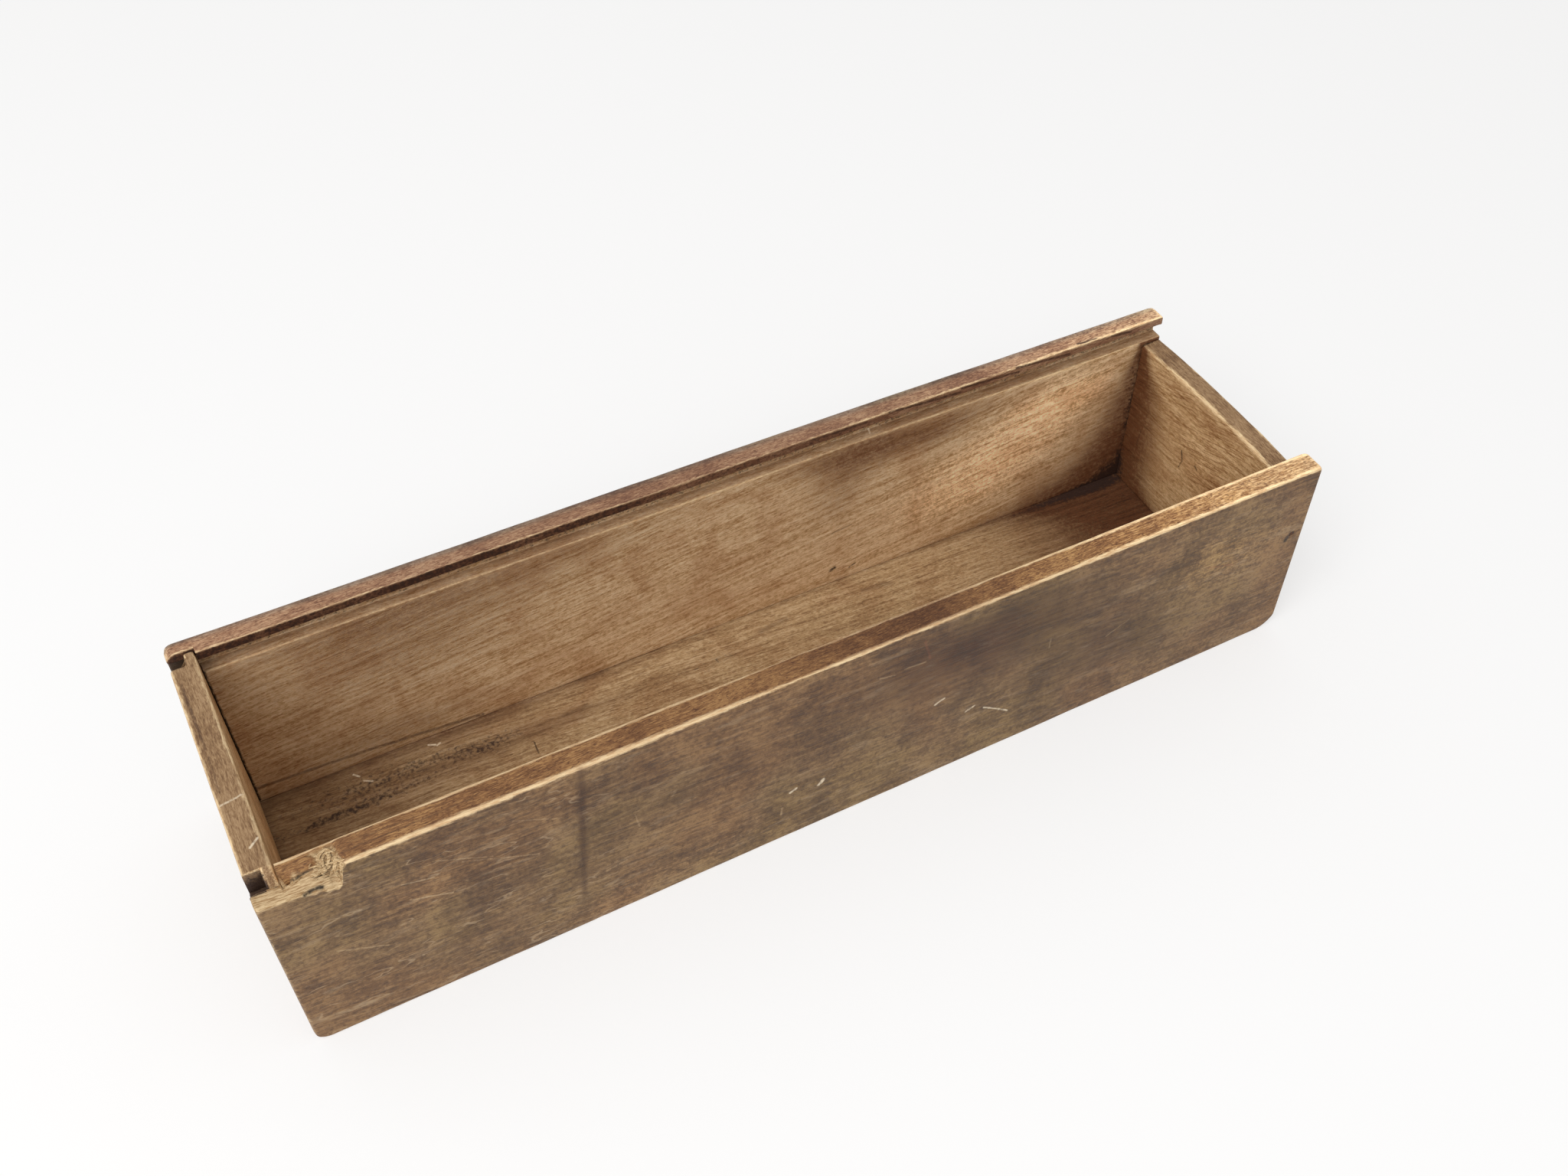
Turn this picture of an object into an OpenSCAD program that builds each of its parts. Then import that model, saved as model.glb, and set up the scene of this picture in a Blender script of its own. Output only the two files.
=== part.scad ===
// Domino storage box: a long, narrow wooden tray made to take a sliding lid.
// Two long side boards carry a ploughed lid groove near the top. The left end
// board stands as high as the sides and is tongued into housings in them, the
// right end board is low enough for a lid to slide in over it, and a thin floor
// lies in rebates under both. Pins hold the right end and the floor.
//
// Millimetres. X runs along the box, Y across it, Z up. The origin is at the
// centre of the underside, so the box stands on the plane z = 0.

/* [Box] */
// Length over the side boards
box_l = 220; // [170:1:320]
// Width over both side boards
box_w = 61; // [50:0.5:90]
// Height of the side boards
box_h = 48.5; // [44:0.5:80]

/* [Boards] */
// Thickness of the side boards
side_t = 5.6; // [5:0.1:9]
// Thickness of the left end board
left_t = 5; // [4:0.1:9]
// Thickness of the right end board
right_t = 5; // [4:0.1:9]
// Thickness of the floor board
floor_t = 2.2; // [1.8:0.1:5]
// How far the top of the right end board lies below the top of the sides
right_drop = 6; // [5.8:0.1:9]
// Glue line left between boards that are fitted to each other
joint_gap = 0.1; // [0.05:0.01:0.2]

/* [Lid groove] */
// Thickness of the lip above the lid groove
lip_t = 2.2; // [2.1:0.1:2.5]
// Height of the lid groove
groove_h = 3.2; // [2.5:0.1:3.2]
// Depth of the lid groove into the side board
groove_d = 2.7; // [1.5:0.1:3]

/* [Left end joint] */
// Thickness of the tongue on the inner side of the left end board
tongue_t = 2.1; // [1.5:0.1:2.6]
// Depth of the housing in the side board that takes the tongue
housing_d = 2.5; // [1.5:0.1:3]

/* [Floor joint] */
// Depth of the rebate in the side board that takes the floor's edge
rebate_d = 2.7; // [2:0.1:3]
// How far the floor stops short of the ends of the box
floor_inset = 0.8; // [0:0.1:1]
// Radius of the floor's worn corners
floor_corner_r = 2.5; // [0.5:0.1:4]

/* [Worn edges] */
// Radius of the front board's lower right corner, seen from the front
heel_r = 5; // [2:0.5:8]
// Radius of the side boards' other lower corners
toe_r = 3; // [1:0.5:5]
// Radius of the side boards' upper corners
crown_r = 1.9; // [0.5:0.1:2]
// Radius of the upright outer edge at the right end of each side board
end_edge_r = 3; // [0.5:0.1:3.5]
// Radius of the upright outer edge at the left end of each side board
start_edge_r = 0.8; // [0.3:0.1:2]
// Radius of the back board's upper outer edge
back_arris_r = 2.2; // [0.5:0.1:2.6]
// Radius of the front board's upper outer edge
front_arris_r = 0.8; // [0.3:0.1:2]
// Radius of every other long edge of the boards
small_arris_r = 0.4; // [0.2:0.1:0.5]

/* [Broken corner] */
// Length of the break along the front board's upper left edge
break_l = 14; // [8:0.5:20]
// Depth of the break at the outer face, below the top of the board
break_drop = 3.1; // [2.3:0.1:4]
// How much shallower the break is at its inner end
break_rise = 1.2; // [0:0.1:1.6]

/* [Pins] */
// Shank diameter of the pins through the side boards
nail_d = 1.3; // [1:0.1:1.6]
// Head diameter of the pins through the side boards
nail_head_d = 2.2; // [1.8:0.1:2.6]
// Length of the pins through the side boards
nail_l = 16; // [12:0.5:20]
// Distance of these pins from the right end of the box
nail_inset = 3.1; // [2:0.1:3.2]
// Height of the lower pin in each right corner joint
nail_low_z = 9.5; // [7:0.5:14]
// Height of the upper pin in each right corner joint
nail_high_z = 30.3; // [20:0.1:34]
// Shank diameter of the pins through the floor
brad_d = 1; // [0.8:0.1:1.2]
// Head diameter of the pins through the floor
brad_head_d = 1.7; // [1.4:0.1:1.9]
// Length of the pins through the floor
brad_l = 9; // [7:0.5:12]
// Pins along each long edge of the floor
brads_per_side = 4; // [2:1:6]
// Distance of the outermost of them from the ends of the box
brad_margin = 22; // [16:1:40]
// Distance between the two pins into each end board
brad_end_pitch = 16; // [8:1:20]
// Thickness of every pin head
head_t = 0.5; // [0.3:0.1:0.8]
// How far every pin head is driven below the surface
head_sink = 0.2; // [0.1:0.05:0.3]
// Radial clearance of the pins in their holes
pin_fit = 0.03; // [0.01:0.01:0.08]

/* [Hidden] */

// Facets of the pins and their holes, and steps of a worn corner's quarter arc
$fn = 24;
arc_steps = 6;
// Overshoot of a cut past the face that it opens
cut = 1;

half_l = box_l / 2;
half_w = box_w / 2;
inner_y = half_w - side_t;
groove_top = box_h - lip_t;
shoulder_z = groove_top - groove_h;
left_in_x = -half_l + left_t;
tongue_x = left_in_x - tongue_t;
right_in_x = half_l - right_t;
end_z = floor_t + joint_gap;
nail_x = half_l - nail_inset;
nail_heights = [nail_low_z, nail_high_z];
brad_side_y = inner_y + rebate_d / 2;
brad_pitch = (box_l - 2 * brad_margin) / (brads_per_side - 1);

// Points of a quarter circle of radius r about c, counter-clockwise from angle a
function quarter(c, r, a) =
    [for (k = [0 : arc_steps]) c + r * [cos(a + 90 * k / arc_steps), sin(a + 90 * k / arc_steps)]];

// Rectangle between the corners p and q, with a radius for each of its corners:
// lower left, lower right, upper right, upper left
function worn_rectangle(p, q, r) = concat(
    quarter([p.x + r[0], p.y + r[0]], r[0], 180),
    quarter([q.x - r[1], p.y + r[1]], r[1], 270),
    quarter([q.x - r[2], q.y - r[2]], r[2], 0),
    quarter([p.x + r[3], q.y - r[3]], r[3], 90));

// Runs an outline drawn in (y, z) along X, from x = from to x = to
module along_x(from, to) {
    translate([from, 0, 0]) rotate([90, 0, 90]) linear_extrude(to - from) children();
}

// Runs an outline drawn in (x, z) along Y, from y = from to y = to
module along_y(from, to) {
    translate([0, to, 0]) rotate([90, 0, 0]) linear_extrude(to - from) children();
}

// Section of a side board, as the back one stands: worn block less the lid
// groove and the rebate for the floor
module side_section(top_r) {
    difference() {
        polygon(worn_rectangle([inner_y, 0], [half_w, box_h],
                               [small_arris_r, small_arris_r, top_r, small_arris_r]));
        translate([inner_y - cut, shoulder_z]) square([groove_d + cut, groove_h]);
        translate([inner_y - cut, -cut]) square([rebate_d + cut, end_z + cut]);
    }
}

// A side board, as the back one stands: its section, run along the box and
// trimmed to its worn outline from the front and from above
module side_board(top_r, lower_right_r) {
    difference() {
        intersection() {
            along_x(-half_l, half_l) side_section(top_r);
            along_y(inner_y - cut, half_w + cut)
                polygon(worn_rectangle([-half_l, 0], [half_l, box_h],
                                       [toe_r, lower_right_r, crown_r, crown_r]));
            translate([0, 0, -cut]) linear_extrude(box_h + 2 * cut)
                polygon(worn_rectangle([-half_l, inner_y], [half_l, half_w],
                                       [small_arris_r, small_arris_r, end_edge_r, start_edge_r]));
        }
        // housing for the tongue of the left end board, right through the lip
        translate([tongue_x - joint_gap, inner_y - cut, -cut])
            cube([tongue_t + 2 * joint_gap, housing_d + cut, box_h + 2 * cut]);
        corner_nails(pin_fit, cut);
        side_brads(pin_fit);
    }
}

// The lip and outer wall lost from the front board's upper left corner
module broken_corner() {
    // beyond the tongue nothing is left of the lip over the groove
    translate([-half_l - cut, -inner_y - groove_d - small_arris_r, groove_top - cut])
        cube([left_t - tongue_t + cut, groove_d + small_arris_r + cut, lip_t + 2 * cut]);
    // the wall outside the groove has split away down a slope that falls
    // outwards and towards the end
    fall = (break_drop - lip_t) / (side_t - groove_d);
    translate([-half_l, 0, box_h])
        rotate([0, -atan(break_rise / break_l), 0])
            translate([0, 0, -box_h])
                along_x(-cut, break_l)
                    polygon([[-half_w - cut, box_h + break_drop],
                             [-half_w - cut, box_h - break_drop - cut * fall],
                             [-inner_y - groove_d, groove_top],
                             [-inner_y - groove_d, box_h + break_drop]]);
}

// One pin: head down on z = 0, shank upwards. grow widens it into its hole,
// and open lengthens the head's recess out through the surface.
module pin(d, head_d, l, grow = 0, open = 0) {
    translate([0, 0, -open]) cylinder(d = head_d + 2 * grow, h = head_t + open + grow);
    cylinder(d = d + 2 * grow, h = l + grow);
}

// Pins through one side board into the right end board, as on the back
module corner_nails(grow = 0, open = 0) {
    for (z = nail_heights)
        translate([nail_x, half_w - head_sink, z]) rotate([90, 0, 0])
            pin(nail_d, nail_head_d, nail_l, grow, open);
}

// Pins up through the floor's edge into one side board, as on the back
module side_brads(grow = 0, open = 0) {
    for (k = [0 : brads_per_side - 1])
        translate([-half_l + brad_margin + k * brad_pitch, brad_side_y, head_sink])
            pin(brad_d, brad_head_d, brad_l, grow, open);
}

// Pins up through the floor into the end board whose middle lies at x
module end_brads(x, grow = 0, open = 0) {
    for (side = [-1, 1])
        translate([x, side * brad_end_pitch / 2, head_sink])
            pin(brad_d, brad_head_d, brad_l, grow, open);
}

module front_side() {
    color("#6f5640") difference() {
        mirror([0, 1, 0]) side_board(front_arris_r, heel_r);
        broken_corner();
    }
}

module back_side() {
    color("#8a6a48") side_board(back_arris_r, toe_r);
}

// The left end board fills the width between the sides. Its inner layer goes
// on into their housings as a tongue at each edge.
module left_end() {
    color("#a07c52") difference() {
        union() {
            translate([-half_l, -inner_y + joint_gap, end_z])
                cube([left_t, 2 * (inner_y - joint_gap), box_h - end_z]);
            tongue_w = 2 * (inner_y + housing_d - joint_gap);
            translate([tongue_x, -tongue_w / 2, end_z])
                cube([tongue_t, tongue_w, box_h - end_z]);
        }
        end_brads(-half_l + left_t / 2, pin_fit);
        broken_tongue();
    }
}

// The front tongue's top has split off with the lip around it
module broken_tongue() {
    translate([tongue_x - cut, -half_w, groove_top])
        cube([tongue_t + 2 * cut, half_w - inner_y - small_arris_r, lip_t + cut]);
}

module right_end() {
    color("#a5845a") difference() {
        translate([right_in_x, -inner_y + joint_gap, end_z])
            cube([right_t, 2 * (inner_y - joint_gap), box_h - right_drop - end_z]);
        for (side = [0, 1]) mirror([0, side, 0]) corner_nails(pin_fit);
        end_brads(half_l - right_t / 2, pin_fit);
    }
}

// The floor runs under both end boards, its long edges in the sides' rebates
module floor_board() {
    corner = [half_l - floor_inset, inner_y + rebate_d - joint_gap];
    color("#8f7350") difference() {
        linear_extrude(floor_t)
            polygon(worn_rectangle(-corner, corner, [for (k = [0 : 3]) floor_corner_r]));
        for (side = [0, 1]) mirror([0, side, 0]) side_brads(pin_fit, cut);
        end_brads(-half_l + left_t / 2, pin_fit, cut);
        end_brads(half_l - right_t / 2, pin_fit, cut);
    }
}

module corner_pins() {
    color("#4a4038") for (side = [0, 1]) mirror([0, side, 0]) corner_nails();
}

module floor_pins() {
    color("#4a4038") {
        for (side = [0, 1]) mirror([0, side, 0]) side_brads();
        end_brads(-half_l + left_t / 2);
        end_brads(half_l - right_t / 2);
    }
}

front_side();
back_side();
left_end();
right_end();
floor_board();
corner_pins();
floor_pins();
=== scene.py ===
"""Worn domino storage box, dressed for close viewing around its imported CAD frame.

Two ploughed side boards, two end boards and a thin floor are rebuilt as dense surfaces with
rounded arrises, dents, splits and one broken corner. Sizes are millimetres in the CAD frame:
X runs along the box, Y across it, Z up, with the origin at the centre of the underside.
"""

import itertools
import logging
import math
from abc import ABC, abstractmethod
from dataclasses import dataclass
from enum import Enum, IntEnum
from functools import reduce

import bpy
import numpy as np
from mathutils import Matrix, Vector


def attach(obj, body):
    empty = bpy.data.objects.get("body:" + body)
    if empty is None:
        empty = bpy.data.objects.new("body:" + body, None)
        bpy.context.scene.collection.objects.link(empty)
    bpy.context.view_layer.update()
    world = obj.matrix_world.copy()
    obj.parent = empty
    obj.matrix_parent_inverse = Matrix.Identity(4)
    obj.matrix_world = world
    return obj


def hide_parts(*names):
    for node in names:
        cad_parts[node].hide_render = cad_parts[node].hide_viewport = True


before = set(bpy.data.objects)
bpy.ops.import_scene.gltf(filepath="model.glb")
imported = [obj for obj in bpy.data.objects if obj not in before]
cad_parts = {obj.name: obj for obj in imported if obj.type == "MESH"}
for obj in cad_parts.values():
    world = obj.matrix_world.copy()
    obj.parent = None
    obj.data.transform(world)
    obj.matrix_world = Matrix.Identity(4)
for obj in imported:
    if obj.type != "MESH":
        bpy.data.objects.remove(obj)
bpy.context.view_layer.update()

LOG = logging.getLogger("domino_box")
MM = 0.001
BODY = "root"


class Slot(Enum):
    """Material slots of the record, one stored on each board."""

    FRONT = "front_wood"
    BACK = "back_wood"
    END = "end_wood"
    FLOOR = "floor_wood"


class Trait(Enum):
    """Point attributes that tell a finish what has happened to the surface, and where shade is painted on
    it.
    """

    WORN = "worn"
    FRESH = "fresh"
    # dirt, and painted shade in corners, under the lip and in the holes beside the tongue
    GRIME_AND_SHADE = "grime_and_shade"
    OUTSIDE = "outside"
    RIM = "rim"
    # paler or darker wood, partly painted light and shade in corners and along the back wall
    TONE = "tone"


class Axis(IntEnum):
    """Axes of the box frame."""

    X = 0
    Y = 1
    Z = 2


class Face(IntEnum):
    """Faces of a side board in the order in which its section runs."""

    OUTER = 0
    TOP = 1
    LIP = 2
    UNDER_LIP = 3
    GROOVE_WALL = 4
    GROOVE_FLOOR = 5
    INNER = 6
    REBATE_CEILING = 7
    REBATE_WALL = 8
    BOTTOM = 9


class Edge(IntEnum):
    """Corners of a plain four-sided section, named by the face that follows each."""

    OUTER = 0
    TOP = 1
    INNER = 2
    BOTTOM = 3


Piece = bpy.types.Object
Socket = bpy.types.NodeSocket
Point = tuple[float, float, float]
Codes = tuple[str, str, str]
Arrays = dict[Trait, np.ndarray | float]
Outline = tuple[tuple[float, ...], tuple[float, ...]]


@dataclass(frozen=True)
class BoxSize:
    """Dimensions shared by the boards."""

    length: float = 220.0
    width: float = 61.0
    height: float = 48.5
    side: float = 5.6
    end: float = 5.0
    floor: float = 2.2
    gap: float = 0.1
    right_drop: float = 6.0
    lip: float = 2.2
    groove_height: float = 3.2
    groove_depth: float = 2.7
    tongue: float = 2.1
    housing: float = 2.5
    rebate: float = 2.7
    floor_inset: float = 0.8


SIZE = BoxSize()
HALF_L = SIZE.length / 2
HALF_W = SIZE.width / 2
INNER_Y = HALF_W - SIZE.side
RIGHT_IN_X = HALF_L - SIZE.end
LEFT_IN_X = -HALF_L + SIZE.end
TONGUE_X = LEFT_IN_X - SIZE.tongue
HOUSING_X = (TONGUE_X - SIZE.gap, LEFT_IN_X + SIZE.gap)
WEB = SIZE.side - SIZE.groove_depth
GROOVE_TOP = SIZE.height - SIZE.lip
SHOULDER = GROOVE_TOP - SIZE.groove_height
END_FOOT = SIZE.floor + SIZE.gap

# how far apart two sections stand where a board's outline steps, and how near they may be there
STEP = 0.03
NEAREST = 0.029
# slack in comparing places along a board
SLACK = 0.01
# least distance kept between two corners of a section
LEAST = 0.06
# how far the lip's worn face stands back from the board's inner one
LIP_BACK = 0.12
# heights between which the dirt and painted shade beside the tongue set in
DIRT_AND_SHADE_HEIGHTS = (14.0, 36.0)


# ---------------------------------------------------------------- array helpers


def value_noise(seed: int, *coords: np.ndarray) -> np.ndarray:
    """Smooth noise: random values on a lattice, blended along each axis by 3t^2 - 2t^3.

    Args:
        seed: Number of the noise.
        coords: One array for each axis, of shapes that broadcast together.

    Returns:
        Values in -1..1, one for each point.
    """
    period = 1024
    chance = np.random.default_rng(seed)
    order = chance.permutation(period)
    values = chance.uniform(-1.0, 1.0, period)
    coords = np.broadcast_arrays(*coords)
    low = [np.floor(c).astype(int) for c in coords]
    blend = [t * t * (3.0 - 2.0 * t) for t in (c - f for c, f in zip(coords, low))]
    total = np.zeros(coords[0].shape)
    for corner in itertools.product((0, 1), repeat=len(coords)):
        place, weight = 0, 1.0
        for f, b, step in zip(low, blend, corner):
            place = order[(place + f + step) % period]
            weight = weight * (b if step else 1.0 - b)
        total += weight * values[place]
    return total


def layered(seed: int, *coords: np.ndarray, layers: int = 3) -> np.ndarray:
    """Sum of noise layers, each twice as fine and half as strong as the one before.

    Args:
        seed: Number of the noise.
        coords: One array for each axis.
        layers: How many layers are added.

    Returns:
        Values in about -1..1.
    """
    shift = 17.3
    found = (value_noise(seed, *[c * 2.0**k + shift * k for c in coords]) for k in range(layers))
    return sum(layer * 0.5**k for k, layer in enumerate(found)) / (2.0 - 0.5 ** (layers - 1))


def smooth(value: np.ndarray, low: float, high: float) -> np.ndarray:
    """Smooth step from 0 at low to 1 at high, either of which may be the larger."""
    t = np.clip((value - low) / (high - low), 0.0, 1.0)
    return t * t * (3.0 - 2.0 * t)


def bell(distance: np.ndarray, reach: np.ndarray | float) -> np.ndarray:
    """Weight that falls with a distance as exp(-(distance / reach)^2)."""
    return np.exp(-((distance / reach) ** 2))


def arc_drop(distance: np.ndarray, radius: float) -> np.ndarray:
    """Drop r - sqrt(r^2 - (r - s)^2) of a rounded corner at distance s < r from its sharp one."""
    reach = np.clip(radius - distance, 0.0, radius)
    return radius - np.sqrt(np.maximum(radius**2 - reach**2, 0.0))


def fine_steps(low: float, high: float, pitch: float) -> np.ndarray:
    """Evenly spaced places from low to high, at most pitch apart."""
    return np.linspace(low, high, int(math.ceil((high - low) / pitch)) + 1)


def eased(count: int) -> np.ndarray:
    """Shares from 0 to 1 that crowd towards 0: 1 - cos over a quarter turn."""
    return 1.0 - np.cos(np.linspace(0.0, math.pi / 2, count))


def joined_steps(*runs: np.ndarray, apart: float = 0.02) -> np.ndarray:
    """The places of several lists in rising order, with neighbours more than apart apart."""
    places = np.unique(np.concatenate(runs))
    return places[np.concatenate([[True], np.diff(places) > apart])]


def key_points(*corners: tuple[np.ndarray, np.ndarray]) -> np.ndarray:
    """Corner points of shape (stations, corners, 2) out of each corner's two coordinates."""
    return np.stack([np.stack(pair, axis=-1) for pair in corners], axis=1)


@dataclass
class Cut:
    """A board's sections: a ring of points across it at each station along it.

    The place along the board has the shape (stations, ring), and the ring (stations, ring, 2),
    with the height as its second coordinate. A point's spot is the number of its corner, or of
    its face plus the fraction of the way along it.
    """

    place: np.ndarray
    ring: np.ndarray
    spots: np.ndarray

    @property
    def depth(self) -> np.ndarray:
        """First coordinate of every point."""
        return self.ring[..., 0]

    @property
    def height(self) -> np.ndarray:
        """Second coordinate of every point."""
        return self.ring[..., 1]

    def moved(self, depth: np.ndarray, height: np.ndarray) -> "Cut":
        """The same sections with other coordinates."""
        return Cut(self.place, np.stack([depth, height], axis=-1), self.spots)

    def pressed(self, press: np.ndarray) -> "Cut":
        """The sections pushed in along their normals, the rings' tangents turned left.

        Args:
            press: How far each point moves.

        Returns:
            The changed sections.
        """
        tangent = np.roll(self.ring, -1, axis=1) - np.roll(self.ring, 1, axis=1)
        normal = np.stack([-tangent[..., 1], tangent[..., 0]], axis=-1)
        normal = normal / np.maximum(np.linalg.norm(normal, axis=-1, keepdims=True), 1e-9)
        return Cut(self.place, self.ring - normal * press[..., None], self.spots)

    def away(self, corner: int) -> np.ndarray:
        """Distance of every point from one corner, along its ring.

        Args:
            corner: The corner's number.

        Returns:
            Distances, of shape (stations, ring).
        """
        step = np.linalg.norm(np.roll(self.ring, -1, axis=1) - self.ring, axis=2)
        run = np.cumsum(step, axis=1) - step
        middle = int(np.argmin(np.abs(self.spots - corner)))
        away = np.abs(run - run[:, middle : middle + 1])
        return np.minimum(away, step.sum(axis=1, keepdims=True) - away)

    def window(self, face: int, soft: float = 0.02) -> np.ndarray:
        """Weight of every ring point on one face, falling round its corners over soft spots."""
        spots = self.spots
        return smooth(spots, face - soft, face + soft) * smooth(spots, face + 1 + soft, face + 1 - soft)

    def between(self, low: float, high: float) -> np.ndarray:
        """Whether each ring point's spot lies between two spots."""
        return (self.spots > low) & (self.spots < high)


def worn_cut(
    x: np.ndarray, keys: np.ndarray, before: np.ndarray, after: np.ndarray, turn: int, runs: tuple[int, ...]
) -> Cut:
    """Sections through corner points, each corner softened into a curve.

    A corner K has its curve start at A, before it on the ring, and end at B, after it. The
    curve is (1-u)^2 A + 2u(1-u) K + u^2 B, and the ring runs straight from B to the next A.

    Args:
        x: Stations along the board.
        keys: Corner points, of shape (stations, corners, 2).
        before: Length from A to K, of shape (stations, corners).
        after: Length from K to B, of shape (stations, corners).
        turn: Steps in each corner's curve.
        runs: Steps in the straight after each corner.

    Returns:
        The sections.
    """
    ahead = np.roll(keys, -1, axis=1) - keys
    reach = np.linalg.norm(ahead, axis=2)
    heading = ahead / np.maximum(reach, 1e-9)[..., None]
    longest = 0.46
    after = np.minimum(after, longest * reach)[..., None]
    before = np.minimum(before, longest * np.roll(reach, 1, axis=1))[..., None]
    start = keys - np.roll(heading, 1, axis=1) * before
    stop = keys + heading * after
    u = np.linspace(0.0, 1.0, turn + 1)[None, :, None]
    parts, spots = [], []
    for k, steps in enumerate(runs):
        a, b, ahead = start[:, k, None], stop[:, k, None], start[:, (k + 1) % len(runs), None]
        t = np.linspace(0.0, 1.0, steps + 1)[1:-1]
        parts += [(1 - u) ** 2 * a + 2 * u * (1 - u) * keys[:, k, None] + u**2 * b]
        parts += [b * (1 - t)[None, :, None] + ahead * t[None, :, None]]
        spots += [k + (u[0, :, 0] - 0.5) * 0.1, k + 0.05 + 0.9 * t]
    ring = np.concatenate(parts, axis=1)
    return Cut(np.broadcast_to(x[:, None], ring.shape[:2]), ring, np.concatenate(spots))


# ---------------------------------------------------------------- pieces


# Degrees between two faces from which their common edge shows sharp.
SHARP_ANGLE = 50.0
# Traits of the flat end faces, the same all over each of them.
END_GRAIN = {Trait.WORN: 0.2, Trait.OUTSIDE: 0.75, Trait.TONE: -0.2}


def tube_quads(index: np.ndarray) -> np.ndarray:
    """Quads that join rings of point numbers, each ring to the next one.

    Args:
        index: Point numbers, of shape (..., rings, points in a ring).

    Returns:
        Quads, of shape (quads, 4).
    """
    beside = np.roll(index, -1, axis=-1)
    corners = (index[..., :-1, :], beside[..., :-1, :], beside[..., 1:, :], index[..., 1:, :])
    return np.stack(corners, axis=-1).reshape(-1, 4)


def new_piece(name: str, grid: np.ndarray, faces: list[list[int]], traits: Arrays) -> Piece:
    """Makes a piece that rides on the body.

    Args:
        name: Name of the piece.
        grid: Points in millimetres, with their coordinates along the last axis.
        faces: Point numbers of each face.
        traits: Values of the point attributes, zero for those left out.

    Returns:
        The new object.
    """
    mesh = bpy.data.meshes.new(name)
    mesh.from_pydata((grid.reshape(-1, 3) * MM).tolist(), [], faces)
    for trait in Trait:
        values = np.broadcast_to(traits.get(trait, 0.0), grid.shape[:-1])
        layer = mesh.attributes.new(trait.value, "FLOAT", "POINT")
        layer.data.foreach_set("value", values.astype(np.float32).ravel())
    mesh.update()
    piece = bpy.data.objects.new(name, mesh)
    bpy.context.scene.collection.objects.link(piece)
    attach(piece, BODY)
    return piece


def swept_piece(name: str, grid: np.ndarray, traits: Arrays) -> Piece:
    """Makes a closed piece out of a grid of rings, its ends closed by flat faces of end grain.

    Args:
        name: Name of the piece.
        grid: Points in millimetres, of shape (stations, ring, 3).
        traits: Values of the point attributes.

    Returns:
        The new object.
    """
    index = np.arange(grid.size // 3).reshape(grid.shape[:2])
    quads, first, last = tube_quads(index), index[0][::-1], index[-1]
    centred = grid - grid.mean(axis=(0, 1))
    a, b, c = centred[:-1], np.roll(centred[:-1], -1, axis=1), np.roll(centred[1:], -1, axis=1)
    # the walls' volume from a . (b x c) is negative where their quads face inwards
    if (a * np.cross(b, c)).sum() < 0.0:
        quads, first, last = quads[:, ::-1], first[::-1], last[::-1]
    full = {trait: np.array(np.broadcast_to(traits.get(trait, 0.0), grid.shape[:2])) for trait in Trait}
    for trait, values in full.items():
        values[[0, -1]] = END_GRAIN.get(trait, 0.0)
    piece = new_piece(name, grid, quads.tolist() + [first.tolist(), last.tolist()], full)
    rounded = np.arange(len(piece.data.polygons)) < len(quads)
    piece.data.polygons.foreach_set("use_smooth", rounded)
    piece.data.set_sharp_from_angle(angle=math.radians(SHARP_ANGLE))
    return piece


@dataclass(frozen=True)
class Patch:
    """Soft-edged area of a face that is darker, paler, dirtier or dented.

    Its strength falls as exp(-(a^2 + b^2)) with the distances a and b from its centre in
    units of its half sizes, turned by its angle and warped by noise.
    """

    centre: tuple[float, float]
    half: tuple[float, float]
    strength: float
    angle: float = 0.0
    warp: float = 0.35

    def weight(self, u: np.ndarray, v: np.ndarray) -> np.ndarray:
        """Strength of the patch on a face.

        Args:
            u: Place along the face's first direction.
            v: Place along its second.

        Returns:
            The strength at every point.
        """
        turn = math.radians(self.angle)
        du, dv = u - self.centre[0], v - self.centre[1]
        a = (du * math.cos(turn) + dv * math.sin(turn)) / self.half[0]
        b = (dv * math.cos(turn) - du * math.sin(turn)) / self.half[1]
        seed = int(abs(self.centre[0] * 7 + self.centre[1] * 13)) + 5
        ragged = self.warp * layered(seed, a * 2.2, b * 2.2)
        return self.strength * np.exp(-(a * a + b * b) * (1.0 + ragged) - 0.6 * np.abs(ragged))


Patches = tuple[Patch, ...]


def patches_sum(patches: Patches, u: np.ndarray, v: np.ndarray) -> np.ndarray:
    """Sum of the weights of several patches, each as it says."""
    return sum((patch.weight(u, v) for patch in patches), 0.0)


def corner_shade_and_dirt(away: np.ndarray, height: np.ndarray, reach: Outline) -> np.ndarray:
    """Painted shade and dirt in an upright corner, at a distance from it; reach lists heights and how far it
    goes.
    """
    return bell(np.clip(away, 0.0, None), np.interp(height, *reach))


@dataclass
class Board(ABC):
    """A board, swept along one axis of the box through sections that change from place to place."""

    name: str
    node: str
    slot: Slot
    seed: int

    @abstractmethod
    def sections(self) -> Cut:
        """The board's sections before it was damaged."""

    @abstractmethod
    def grid(self, cut: Cut) -> np.ndarray:
        """Points of the pressed surface in the box frame, of shape (stations, ring, 3)."""

    @abstractmethod
    def traits(self, cut: Cut) -> Arrays:
        """What has happened to every point of the surface, and where shade is painted on it, as attribute
        arrays.
        """

    def carve(self, cut: Cut) -> Cut:
        """Changes the sections where the board is damaged; a plain board is whole."""
        return cut

    def build(self) -> Piece:
        """Builds the board.

        Returns:
            The board, standing for its CAD node.
        """
        cut = self.carve(self.sections())
        piece = swept_piece(self.name, self.grid(cut), self.traits(cut))
        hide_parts(self.node)
        return piece


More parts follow.
